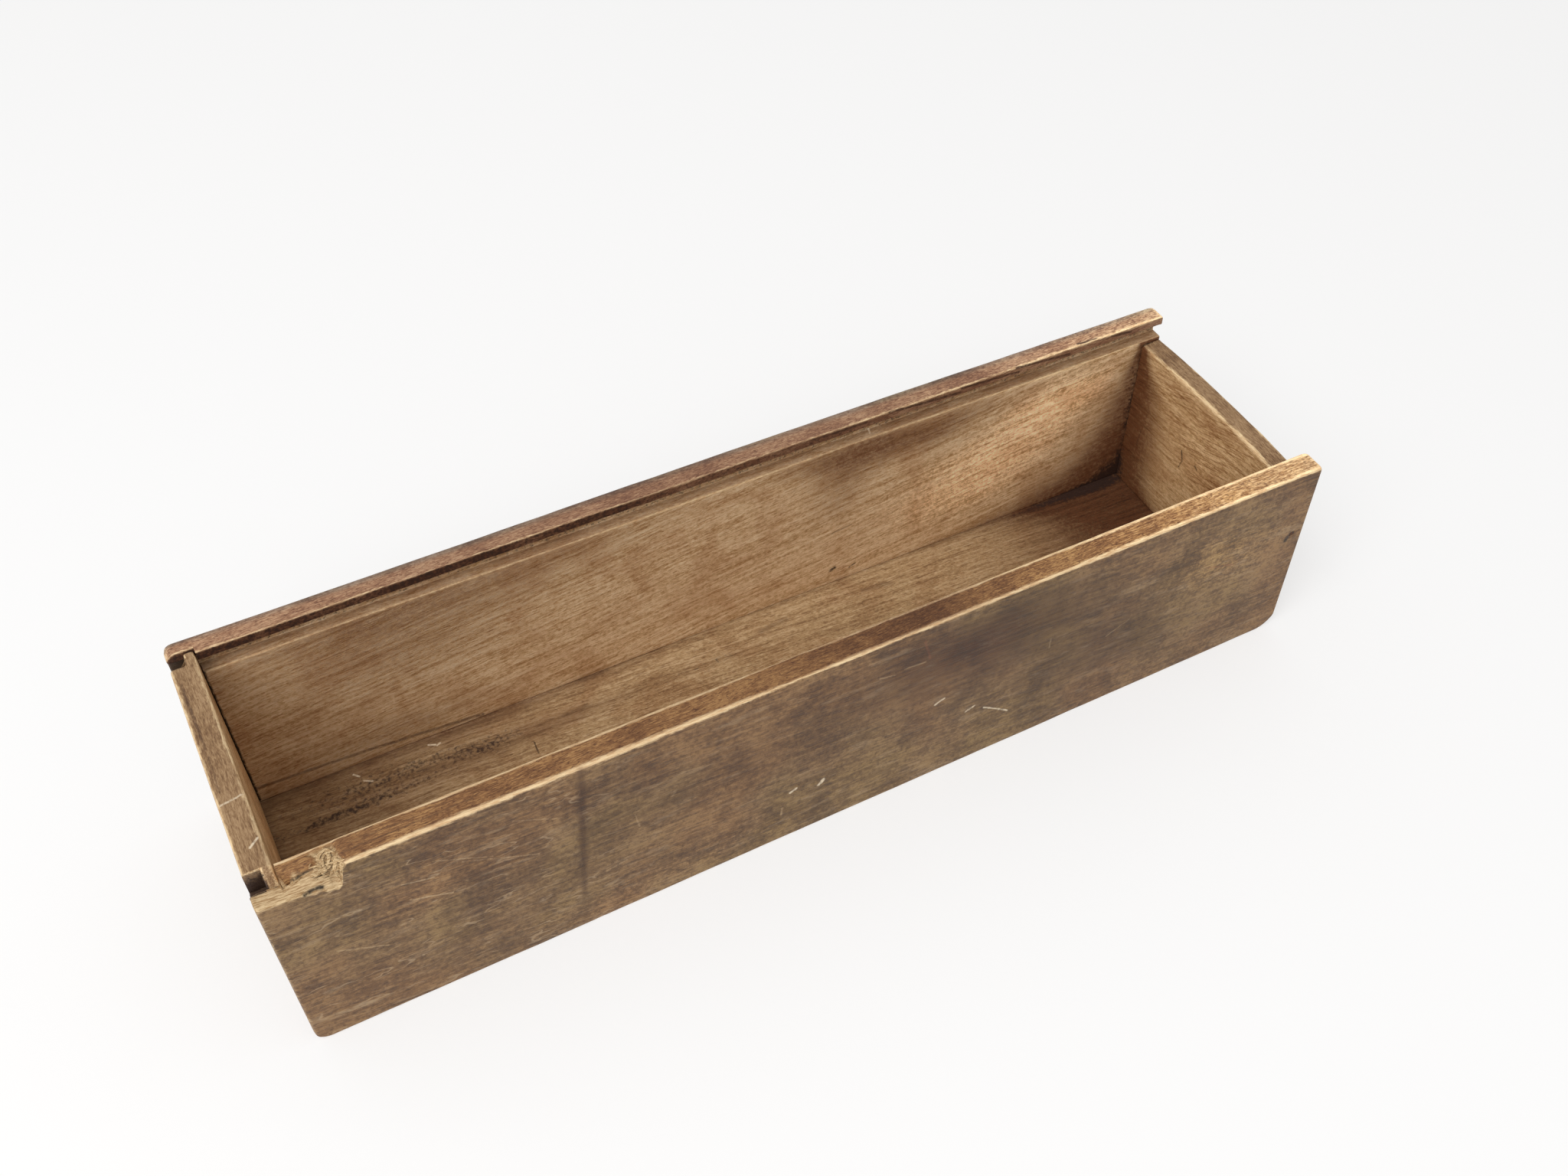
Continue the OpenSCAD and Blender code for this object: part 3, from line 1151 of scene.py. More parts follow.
@dataclass
class FloorBoard(Board):
    """The thin floor in the sides' rebates, whose sections are (place across the box, height)."""

    half: float = HALF_L - SIZE.floor_inset
    corner: float = 2.5
    pitch: float = 0.7
    arris: float = 0.3
    broad_press: float = 0.04
    small_press: float = 0.03
    brad_hollow: float = 0.34
    brad_reach: float = 1.25
    brads_along: tuple[float, ...] = (-88.0, -88.0 + 176.0 / 3, 88.0 - 176.0 / 3, 88.0)
    brads_ends: tuple[float, float] = (-107.5, 107.5)
    brad_pitch: float = 16.0
    turn: int = 3
    runs: tuple[int, ...] = (3, 96, 3, 96)
    # patches of dirt on the top, some of them painted shade in the far corner
    grime_and_shade_patches: Patches = ()
    tone_patches: Patches = ()

    def brad_places(self) -> list[tuple[float, float]]:
        """Places of the pin heads on the underside."""
        rows = ((self.brads_along, INNER_Y + SIZE.rebate / 2), (self.brads_ends, self.brad_pitch / 2))
        return [(x, side * y) for along, y in rows for x in along for side in (-1, 1)]

    def sections(self) -> Cut:
        """The floor's sections.

        Returns:
            The sections.
        """
        ends = eased(8) * self.corner
        brads = [x + np.linspace(-1.3, 1.3, 9) for x in (*self.brads_along, *self.brads_ends)]
        even = fine_steps(-self.half, self.half, self.pitch)
        x = joined_steps(even, -self.half + ends, self.half - ends, *brads)
        x = x[np.abs(x) <= self.half]
        wide = INNER_Y + SIZE.rebate - SIZE.gap - arc_drop(self.half - np.abs(x), self.corner)
        low, high = np.zeros_like(x), np.full_like(x, SIZE.floor)
        keys = key_points((-wide, low), (-wide, high), (wide, high), (wide, low))
        reach = np.full((len(x), len(Edge)), self.arris)
        return worn_cut(x, keys, reach, reach, self.turn, self.runs)

    def grid(self, cut: Cut) -> np.ndarray:
        """Points of the pressed surface in the box frame.

        Args:
            cut: The sections.

        Returns:
            Points of shape (stations, ring, 3).
        """
        x, y = cut.place, cut.depth
        broad = layered(self.seed, x * 0.03, y * 0.07)
        small = layered(self.seed + 1, x * 0.15, y * 0.6)
        clear = smooth(np.minimum(INNER_Y - np.abs(y), self.half - SIZE.end - np.abs(x)), 0.0, 3.0)
        upper = clear * (self.broad_press * (1 + broad) + self.small_press * (1 + small))
        under = self.small_press * (1 + broad)
        for brad_x, brad_y in self.brad_places():
            away = np.hypot(x - brad_x, y - brad_y)
            under = under + self.brad_hollow * smooth(away, self.brad_reach, 0.8)
        press = cut.window(Edge.BOTTOM) ** 2 * under - cut.window(Edge.TOP) ** 2 * upper
        return np.stack([x, y, cut.height + press], axis=-1)

    def traits(self, cut: Cut) -> Arrays:
        """What has happened to every point of the surface, and where shade is painted on it.

        Args:
            cut: The sections.

        Returns:
            Attribute arrays.
        """
        x, y = cut.place, cut.depth
        shade_by_wall = np.exp(-np.clip(INNER_Y - np.abs(y), 0.0, None) / 1.3)
        shade_by_end_wall = np.exp(-np.clip(RIGHT_IN_X - np.abs(x), 0.0, None) / 1.6)
        # the top is painted darker beside the walls, where shade falls in the corners
        tone = patches_sum(self.tone_patches, x, y) - 0.25 * np.clip(shade_by_wall + shade_by_end_wall, 0.0, 1.0)
        on_top = cut.window(Edge.TOP)
        return {
            Trait.GRIME_AND_SHADE: np.clip(on_top * patches_sum(self.grime_and_shade_patches, x, y), 0.0, 1.0),
            Trait.OUTSIDE: cut.window(Edge.BOTTOM),
            Trait.TONE: np.clip(on_top * tone, -1.0, 1.0),
        }


# ---------------------------------------------------------------- finishes


def paint(code: str) -> tuple[float, float, float, float]:
    """Linear colour of a hexadecimal paint code.

    Each channel c goes to c/12.92 below 0.04045, and to ((c + 0.055)/1.055)^2.4 above.

    Args:
        code: Six hexadecimal digits.

    Returns:
        Red, green, blue and alpha.
    """
    shares = [int(code[k : k + 2], 16) / 255 for k in (0, 2, 4)]
    linear = [c / 12.92 if c <= 0.04045 else ((c + 0.055) / 1.055) ** 2.4 for c in shares]
    return (*linear, 1.0)


class Canvas:
    """A node tree, with short calls for the nodes that the finishes need.

    An input is given as another node's output, a plain value or, for a colour, a paint code.
    """

    def __init__(self, owner: bpy.types.ID, shader: str = "Principled BSDF") -> None:
        """Starts on the node tree of a material or a world."""
        owner.use_nodes = True
        self.owner, self.tree, self.shader = owner, owner.node_tree, owner.node_tree.nodes[shader]

    def feed(self, socket: Socket, value: object) -> None:
        """Links an output to a socket, or sets the socket to a plain value or a paint.

        Args:
            socket: The socket.
            value: The output, plain value or paint code.
        """
        if isinstance(value, Socket):
            self.tree.links.new(value, socket)
        else:
            socket.default_value = paint(value) if isinstance(value, str) else value

    def add(self, kind: str, inputs: dict, out: int | str = 0, **settings: object) -> Socket:
        """Adds a node.

        Args:
            kind: Blender's name of the node.
            inputs: What its inputs are fed, by name or number.
            out: Name or number of the output that is wanted.
            settings: Properties of the node.

        Returns:
            That output.
        """
        made = self.tree.nodes.new(kind)
        for key, value in settings.items():
            setattr(made, key, value)
        for key, value in inputs.items():
            self.feed(made.inputs[key], value)
        return made.outputs[out]

    def math(self, operation: str, *values: object, clamp: bool = False) -> Socket:
        """Result of a Math node, kept within 0..1 where clamp is set."""
        return self.add("ShaderNodeMath", dict(enumerate(values)), operation=operation, use_clamp=clamp)

    def vector(self, operation: str, *values: object, out: int = 0) -> Socket:
        """Result of a Vector Math node, with out 1 where it is a plain value."""
        return self.add("ShaderNodeVectorMath", dict(enumerate(values)), out, operation=operation)

    def scaled(self, vector: object, factor: object) -> Socket:
        """A vector times a number."""
        return self.add("ShaderNodeVectorMath", {0: vector, "Scale": factor}, operation="SCALE")

    def millimetres(self) -> Socket:
        """Object coordinates in millimetres."""
        return self.scaled(self.add("ShaderNodeTexCoord", {}, "Object"), 1.0 / MM)

    def noise(self, place: Socket, scale: float, *finer: float) -> Socket:
        """Noise in 0..1 with scale features a millimetre; finer is its detail and the inputs after it."""
        inputs = dict(zip(("Detail", "Roughness", "Distortion"), (*finer, *(3.0, 0.5, 0.0)[len(finer) :])))
        return self.add("ShaderNodeTexNoise", {"Vector": place, "Scale": scale, **inputs})

    def mixed(self, *parts: tuple[Socket, float]) -> Socket:
        """Sum of several values, each times its weight."""
        return reduce(lambda total, part: self.math("MULTIPLY_ADD", *part, total), parts, 0.0)

    def shaken(self, place: Socket, scale: float, size: float) -> Socket:
        """Coordinates pushed about by noise of that scale, over a range of that size."""
        sway = self.add("ShaderNodeTexNoise", {"Vector": place, "Scale": scale}, "Color")
        return self.vector("ADD", place, self.scaled(self.vector("SUBTRACT", sway, (0.5,) * 3), size))

    def turned(self, place: Socket, tilt: Point) -> Socket:
        """Coordinates turned about the three axes, in degrees."""
        inputs = {"Rotation": [math.radians(angle) for angle in tilt], "Vector": place}
        return self.add("ShaderNodeMapping", inputs)

    def trait(self, trait: Trait) -> Socket:
        """A point attribute of the piece."""
        return self.add("ShaderNodeAttribute", {}, "Fac", attribute_name=trait.value)

    def span(self, value: object, low: float, high: float, to: float = 1.0, since: float = 0.0) -> Socket:
        """Maps low..high to since..to along a smooth curve."""
        inputs = {"Value": value, "From Min": low, "From Max": high, "To Min": since, "To Max": to}
        return self.add("ShaderNodeMapRange", inputs, interpolation_type="SMOOTHSTEP")

    def ramp(self, value: Socket, *stops: tuple[float, str]) -> Socket:
        """Colours along a value.

        Args:
            value: Where on the ramp, 0..1.
            stops: Places and paint codes.

        Returns:
            The colour.
        """
        made = self.add("ShaderNodeValToRGB", {"Fac": value}, "Color")
        elements = made.node.color_ramp.elements
        while len(elements) < len(stops):
            elements.new(0.5)
        for element, (place, code) in zip(elements, stops):
            element.position, element.color = place, paint(code)
        return made

    def blend(self, share: object, under: object, over: object, kind: str = "MIX") -> Socket:
        """Mixes two colours, share being that of the upper one."""
        inputs = {"Factor": share, 6: under, 7: over}
        return self.add("ShaderNodeMix", inputs, 2, data_type="RGBA", blend_type=kind)

    def relief(self, height: Socket, strength: float, distance: float) -> None:
        """Gives the shader a bump of that height."""
        inputs = {"Strength": strength, "Distance": distance * MM, "Height": height}
        self.feed(self.shader.inputs["Normal"], self.add("ShaderNodeBump", inputs, "Normal"))

    def coat(self, **inputs: object) -> None:
        """Feeds the shader's inputs, whose names have underscores for spaces."""
        for name, value in inputs.items():
            self.feed(self.shader.inputs[name.replace("_", " ")], value)


@dataclass(frozen=True)
class Mark:
    """A thin line on a surface: a scratch, a crack or the edge of a stain.

    Its mask falls with the distance to the segment from start to end, which small noise bends.
    """

    start: Point
    end: Point
    width: float
    code: str
    strength: float

    def mask(self, canvas: Canvas, place: Socket) -> Socket:
        """Adds the nodes that find the mark.

        Args:
            canvas: The material's nodes.
            place: Object coordinates in millimetres.

        Returns:
            The mark's strength at each place.
        """
        start = Vector(self.start)
        along = Vector(self.end) - start
        offset = canvas.vector("SUBTRACT", place, tuple(start))
        reach = canvas.vector("DOT_PRODUCT", offset, tuple(along / along.length_squared), out=1)
        foot = canvas.scaled(tuple(along), canvas.math("ADD", reach, 0.0, clamp=True))
        away = canvas.vector("LENGTH", canvas.vector("SUBTRACT", offset, foot), out=1)
        return canvas.span(away, self.width, self.width * 0.25, self.strength)


def marks_on(axis: Axis, level: float, *rows: tuple) -> tuple[Mark, ...]:
    """Marks on a plane across one axis; a row holds start, end, width, paint code and strength."""
    ends = [(np.insert(row[:2], axis, level), np.insert(row[2:4], axis, level)) for row in rows]
    return tuple(Mark(tuple(start), tuple(end), *row[4:]) for (start, end), row in zip(ends, rows))


@dataclass(frozen=True)
class AgedWood:
    """Bare old wood with fibres, stains and painted shade, a dirty skin outside and a handled rim."""

    name: str
    along: Axis
    raw: Codes
    outer: Codes
    rim: Codes
    tilt: Point
    marks: tuple[Mark, ...]
    worn: tuple[str, str] = ("D9B182", "F2D6A8")
    rubbed: str = "B49A78"
    fresh: tuple[str, str] = ("A38055", "DDC297")
    # colour towards which darker tone, from stains and painted shade, is drawn
    stain_and_shade: str = "7A5238"
    # colour of the dirt, which also paints shade in corners and recesses
    grime_and_shade: str = "33211A"
    blotch: float = 0.4
    blotch_code: str = "C9A98C"
    dashes: float = 0.4
    sway: float = 2.4
    saw_tilt: Point = (16.0, 0.0, 0.0)
    saw: float = 0.0
    scratches: float = 0.0
    spots: float = 0.7
    spot_code: str = "5A3520"
    roughness: float = 0.62
    sheen: float = 0.35
    bump: float = 0.55
    bump_height: float = 0.25

    def make(self) -> bpy.types.Material:
        """Builds the material."""
        return WoodCanvas(self).finished()


class WoodCanvas(Canvas):
    """The nodes of one wood, with the patterns that its colours and relief are mixed from."""

    def __init__(self, wood: AgedWood) -> None:
        """Adds the patterns: streaks along the grain, and mottles and specks without one.

        Args:
            wood: The finish.
        """
        super().__init__(bpy.data.materials.new(wood.name))
        self.wood = wood
        self.place = self.millimetres()
        self.straight = self.turned(self.shaken(self.place, 0.03, wood.sway), wood.tilt)
        self.long = self.noise(self.drawn(self.straight, 45.0), 1.3, 3.0, 0.55)
        self.fibre = self.noise(self.drawn(self.straight, 10.0), 3.6, 4.0, 0.7)
        self.hair = self.noise(self.drawn(self.straight, 5.0), 6.0, 2.0, 0.6)
        self.mottle = self.noise(self.place, 0.075, 5.0, 0.62, 0.6)
        self.drift = self.noise(self.vector("ADD", self.place, (71.0, 33.0, 12.0)), 0.03)
        self.speck = self.noise(self.place, 1.3, 4.0, 0.65)

    def drawn(self, place: Socket, stretch: float) -> Socket:
        """Coordinates drawn out along the grain by a factor."""
        squeeze = (1.0 / stretch if axis == self.wood.along else 1.0 for axis in Axis)
        return self.vector("MULTIPLY", place, tuple(squeeze))

    def inside(self) -> Socket:
        """Bare wood: streaks from dark to light, blotches, dark dashes and saw cuts.

        Returns:
            The colour.
        """
        wood = self.wood
        dark, mid, light = wood.raw
        figure = self.mixed((self.long, 0.26), (self.fibre, 0.32), (self.hair, 0.22), (self.speck, 0.2))
        colour = self.ramp(figure, (0.425, dark), (0.5, mid), (0.575, light))
        blotches = self.span(self.mottle, 0.44, 0.64, wood.blotch)
        colour = self.blend(blotches, colour, wood.blotch_code, "MULTIPLY")
        dash = self.noise(self.drawn(self.straight, 9.0), 3.0, 2.0, 0.6)
        colour = self.blend(self.span(dash, 0.42, 0.33, wood.dashes), colour, dark, "MULTIPLY")
        if wood.saw:
            kerf = self.noise(self.drawn(self.turned(self.straight, wood.saw_tilt), 40.0), 3.6, 1.0, 0.4)
            share = self.math("MULTIPLY", self.span(kerf, 0.47, 0.36), self.span(self.drift, 0.35, 0.6))
            colour = self.blend(self.math("MULTIPLY", share, wood.saw), colour, dark, "MULTIPLY")
        return colour

    def skin(self) -> Socket:
        """The outside: a mottled dirty skin, rubbed patches and pale scratches.

        Returns:
            The colour.
        """
        wood = self.wood
        deep, brown, grey = wood.outer
        share = self.mixed((self.mottle, 0.3), (self.fibre, 0.3), (self.long, 0.16), (self.speck, 0.24))
        colour = self.ramp(share, (0.43, deep), (0.5, brown), (0.57, grey))
        hue = self.ramp(self.drift, (0.4, "FFF6F0"), (0.5, "FFFFFF"), (0.6, "FAFDF2"))
        colour = self.blend(1.0, colour, hue, "MULTIPLY")
        rubbed = self.noise(self.drawn(self.straight, 5.0), 0.45, 5.0, 0.7)
        colour = self.blend(self.span(rubbed, 0.54, 0.68, 0.3), colour, wood.rubbed)
        colour = self.blend(self.span(self.speck, 0.42, 0.3, 0.5), colour, deep)
        if wood.scratches:
            curly = self.noise(self.drawn(self.shaken(self.straight, 0.3, 1.6), 7.0), 0.35, 1.0)
            line = self.math("ABSOLUTE", self.math("SUBTRACT", curly, 0.5))
            where = self.span(self.noise(self.straight, 0.16, 4.0, 0.6), 0.46, 0.6)
            along = self.vector("DOT_PRODUCT", self.place, (1.0, 0.0, 0.0), out=1)
            where = self.math("MULTIPLY", where, self.span(along, -20.0, -75.0, 1.0, since=0.25))
            share = self.math("MULTIPLY", self.span(line, 0.02, 0.004), where)
            colour = self.blend(self.math("MULTIPLY", share, wood.scratches), colour, wood.rubbed)
        return colour

    def rim_skin(self) -> Socket:
        """The handled rim: rubbed wood with dark specks left in its pores.

        Returns:
            The colour.
        """
        dark, mid, light = self.wood.rim
        share = self.mixed((self.fibre, 0.45), (self.mottle, 0.3), (self.hair, 0.25))
        colour = self.ramp(share, (0.42, dark), (0.5, mid), (0.58, light))
        spots = self.span(self.mixed((self.speck, 0.6), (self.hair, 0.4)), 0.48, 0.39, self.wood.spots)
        return self.blend(spots, colour, self.wood.spot_code)

    def weathered(self, colour: Socket) -> Socket:
        """Puts wear, breaks, tone, painted light and shade, and dirt on a colour where the traits say so.

        Args:
            colour: The sound wood's colour.

        Returns:
            The weathered colour.
        """
        streaks = self.math("SUBTRACT", self.mixed((self.fibre, 0.7), (self.speck, 0.4)), 0.55)
        tan, pale = self.wood.worn
        worn = self.span(self.math("ADD", self.trait(Trait.WORN), streaks), 0.22, 0.85, 0.95)
        colour = self.blend(worn, colour, self.ramp(self.fibre, (0.42, tan), (0.56, pale)))
        tan, pale = self.wood.fresh
        fresh = self.ramp(self.fibre, (0.4, tan), (0.58, pale))
        colour = self.blend(self.trait(Trait.FRESH), colour, fresh)
        uneven = self.span(self.mixed((self.speck, 0.6), (self.fibre, 0.4)), 0.35, 0.65, 1.3, since=0.7)
        tone = self.math("MULTIPLY", self.trait(Trait.TONE), uneven)
        tone = self.math("ADD", tone, self.math("MULTIPLY", streaks, 0.3))
        # paler tone lightens the colour; part of it is painted light
        colour = self.scaled(colour, self.span(tone, 0.0, 1.0, 1.6, since=1.0))
        # darker tone, from stains and painted shade, multiplies towards the stain and shade colour
        colour = self.blend(self.span(tone, 0.0, -1.0, 0.95), colour, self.wood.stain_and_shade, "MULTIPLY")
        crumbs = self.math("MULTIPLY", self.math("SUBTRACT", self.speck, 0.5), 1.8)
        # dirt and painted shade, broken up by crumbs
        dirt_and_shade = self.span(self.math("ADD", self.trait(Trait.GRIME_AND_SHADE), crumbs), 0.3, 0.85, 0.92)
        return self.blend(dirt_and_shade, colour, self.wood.grime_and_shade)

    def marked(self, colour: Socket) -> Socket:
        """Draws the marks, all those of one paint together.

        Args:
            colour: The colour below the marks.

        Returns:
            The marked colour.
        """
        place = self.shaken(self.place, 0.7, 0.5)
        for code in sorted({mark.code for mark in self.wood.marks}):
            masks = [mark.mask(self, place) for mark in self.wood.marks if mark.code == code]
            share = reduce(lambda total, mask: self.math("MAXIMUM", total, mask), masks)
            broken = self.math("MULTIPLY", share, self.span(self.speck, 0.3, 0.55, 1.0, since=0.35))
            colour = self.blend(broken, colour, code)
        return colour

    def finished(self) -> bpy.types.Material:
        """Paints the material.

        Returns:
            The material.
        """
        outside = self.trait(Trait.OUTSIDE)
        colour = self.blend(outside, self.inside(), self.skin())
        colour = self.blend(self.trait(Trait.RIM), colour, self.rim_skin())
        rough = self.math("MULTIPLY", self.math("SUBTRACT", self.fibre, 0.5), 0.5)
        rough = self.math("ADD", self.wood.roughness, rough)
        rough = self.math("SUBTRACT", rough, self.math("MULTIPLY", outside, 0.1))
        torn = self.math("MULTIPLY", self.trait(Trait.FRESH), 0.2)
        rough = self.math("ADD", rough, torn, clamp=True)
        colour = self.marked(self.weathered(colour))
        self.coat(Base_Color=colour, Roughness=rough, Specular_IOR_Level=self.wood.sheen)
        relief = self.mixed((self.fibre, 0.8), (self.hair, 0.4), (self.speck, 0.25), (self.long, 0.5))
        self.relief(relief, self.wood.bump, self.wood.bump_height)
        return self.owner


@dataclass(frozen=True)
class RustyIron:
    """Dark iron with rust in patches, for the pins."""

    name: str = "rusty_pin_iron"
    dark: str = "3A332E"
    rust: str = "6B4630"
    roughness: tuple[float, float] = (0.45, 0.85)
    metallic: float = 0.6
    bump: float = 0.5
    bump_height: float = 0.1

    def make(self) -> bpy.types.Material:
        """Builds the material.

        Returns:
            The material.
        """
        c = Canvas(bpy.data.materials.new(self.name))
        patch = c.noise(c.millimetres(), 1.6, 4.0, 0.6)
        colour = c.ramp(patch, (0.4, self.dark), (0.62, self.rust))
        low, high = self.roughness
        c.coat(Base_Color=colour, Roughness=c.span(patch, 0.3, 0.7, high, low), Metallic=self.metallic)
        c.relief(patch, self.bump, self.bump_height)
        return c.owner


def dress(piece: Piece, material: bpy.types.Material) -> None:
    """Gives a piece one material in place of any that it has."""
    piece.data.materials.clear()
    piece.data.materials.append(material)


# ---------------------------------------------------------------- the box


FRONT_BOARD = BrokenSideBoard(
    name="front_board",
    node="front_side",
    slot=Slot.FRONT,
    seed=100,
    outward=-1,
    heel=5.0,
    pin_hollows=(0.12, 0.3),
    pin_reach=0.9,
    top_along=(-110.0, -40.0, 20.0, 60.0, 110.0),
    top_tone=(-0.22, -0.35, -0.6, 0.4, 0.9),
    top_wear=(0.0, 0.0, 0.0, 0.2, 0.45),
    wear_size=(1.25, 0.6),
    outer_wear=0.85,
    outer_tone=(
        Patch((-55.5, 27.0), (0.9, 40.0), -0.6, angle=-5.0, warp=0.12),
        Patch((28.0, 32.0), (42.0, 12.0), -0.45),
        Patch((62.0, 16.0), (26.0, 12.0), -0.4),
        Patch((-42.0, 34.0), (24.0, 14.0), -0.18),
        Patch((100.0, 20.0), (12.0, 18.0), 0.1),
        Patch((31.0, 40.0), (22.0, 8.0), -0.45),
        Patch((86.0, 32.0), (14.0, 8.0), 0.8),
        Patch((-38.0, 5.5), (36.0, 5.0), 0.35),
        Patch((-85.0, 32.0), (10.0, 8.0), 0.3),
    ),
    outer_dents=(Patch((-56.0, 26.0), (0.7, 30.0), 0.18, angle=3.0, warp=0.1),),
)

BACK_BOARD = RoundedSideBoard(
    name="back_board",
    node="back_side",
    slot=Slot.BACK,
    seed=200,
    outward=1,
    end_edge=1.3,
    crown_right=0.7,
    lip_corner=0.3,
    rim_blur=0.4,
    tongue_cut=1.5,
    top_along=(-110.0, -60.0, 0.0, 60.0, 110.0),
    top_tone=(0.35, 0.1, 0.0, 0.3, 1.0),
    top_wear=(0.1, 0.0, 0.0, 0.15, 0.4),
    outer_wear=0.2,
    lip_wear=0.55,
    inner_tone=(
        Patch((36.0, 40.5), (24.0, 5.5), -0.6, angle=-3.0),
        Patch((28.0, 30.0), (9.0, 13.0), -0.4, angle=-15.0, warp=0.6),
        # the next two patches paint shade from the left end board and light along the right of the back wall
        Patch((-90.0, 20.0), (26.0, 40.0), -0.1, warp=0.1),
        Patch((78.0, 28.0), (24.0, 16.0), 0.75),
        Patch((86.0, 34.0), (12.0, 4.0), 0.5),
        Patch((66.0, 41.0), (12.0, 5.0), -0.4),
        Patch((-60.0, 44.0), (60.0, 11.0), -0.5),
        Patch((-66.0, 27.0), (28.0, 13.0), -0.3),
        Patch((-73.0, 8.0), (18.0, 5.0), -0.35),
        Patch((52.0, 36.0), (14.0, 7.0), -0.3),
        Patch((58.0, 18.0), (22.0, 9.0), 0.4),
    ),
    # painted shade and dirt reaching out from the far right corner
    stain_and_shade=((2.0, 5.0, 9.0, 15.0, 22.0, 30.0, 36.0, 41.0), (40.0, 36.0, 29.0, 23.0, 18.0, 11.0, 5.0, 1.2)),
    # painted shade and dirt in the far right corner and along its foot
    inner_grime_and_shade=(
        Patch((106.5, 22.0), (3.2, 22.0), 0.7, warp=0.4),
        Patch((103.0, 3.0), (6.0, 6.0), 0.9, warp=0.5),
        Patch((93.0, 1.8), (12.0, 1.8), 0.75, warp=0.6),
    ),
)

LEFT_END_BOARD = TonguedEndBoard(
    name="left_end_board",
    node="left_end",
    slot=Slot.END,
    seed=300,
    outer_x=-HALF_L,
    inner_x=LEFT_IN_X,
    top=SIZE.height,
    reach_y=INNER_Y + SIZE.housing - SIZE.gap,
    inner_tone=(Patch((0.0, 25.0), (40.0, 30.0), 0.6),),
)

# low enough for a lid to pass over it
RIGHT_END_BOARD = EndBoard(
    name="right_end_board",
    node="right_end",
    slot=Slot.END,
    seed=400,
    outer_x=HALF_L,
    inner_x=RIGHT_IN_X,
    top=SIZE.height - SIZE.right_drop,
    reach_y=INNER_Y - SIZE.gap,
    swell=1.0,
    rim_tone=0.12,
    inner_tone=(Patch((0.0, 20.0), (14.0, 26.0), 0.2),),
    # painted shade and dirt reaching out from the corner by the back wall
    stain_and_shade=((5.0, 9.0, 15.0, 22.0, 28.0, 34.0, 39.0, 43.0), (15.0, 14.0, 13.5, 14.0, 12.0, 9.5, 4.5, 2.0)),
    # painted shade and dirt in that corner and at its foot
    inner_grime_and_shade=(
        Patch((25.2, 26.0), (1.3, 20.0), 0.7, warp=0.6),
        Patch((24.4, 5.0), (2.6, 6.0), 0.75, warp=0.6),
    ),
)

FLOOR_BOARD = FloorBoard(
    name="floor",
    node="floor_board",
    slot=Slot.FLOOR,
    seed=500,
    grime_and_shade_patches=(
        Patch((-82.0, 19.0), (24.0, 3.8), 0.58, warp=0.5),
        Patch((-60.0, 17.2), (7.0, 2.0), 0.52, warp=0.9),
        Patch((-8.0, 16.0), (14.0, 2.0), 0.4, warp=0.9),
        # the next two paint shade and dirt where the back wall and the right end meet the floor
        Patch((99.0, 24.0), (9.0, 2.8), 0.95, warp=0.5),
        Patch((88.0, 24.2), (13.0, 1.6), 0.85, warp=0.8),
        Patch((-92.0, 14.4), (20.0, 1.2), 0.6, warp=0.8),
        Patch((-90.0, -12.0), (15.0, 2.0), 0.6, angle=-6.0, warp=0.9),
    ),
    tone_patches=(
        # darker towards the left end: dirt and painted shade beside the end board
        Patch((-84.0, 0.0), (32.0, 30.0), -0.4),
        Patch((0.0, 0.0), (60.0, 16.0), 0.1),
        # the next three darken the right end and its back corner with dirt and painted shade
        Patch((106.0, 8.0), (38.0, 40.0), -0.95, warp=0.12),
        Patch((104.0, 22.0), (16.0, 10.0), -0.75, warp=0.12),
        Patch((97.0, 25.0), (17.0, 4.0), -1.2, warp=0.2),
        Patch((-55.0, 24.2), (42.0, 3.0), -0.35),
        Patch((-50.0, 16.5), (36.0, 3.0), -0.45),
        Patch((-88.0, -14.0), (26.0, 3.0), -0.5, angle=-4.0),
    ),
)

PALE = "E8C99C"
CREAM = "F4E2C4"
DARK = "1E140E"
BROWN = "4A3022"
RUST = "8A5136"
FRONT_Y = -HALF_W
LIP_Y = INNER_Y + LIP_BACK
END_TOP = SIZE.height - 0.2

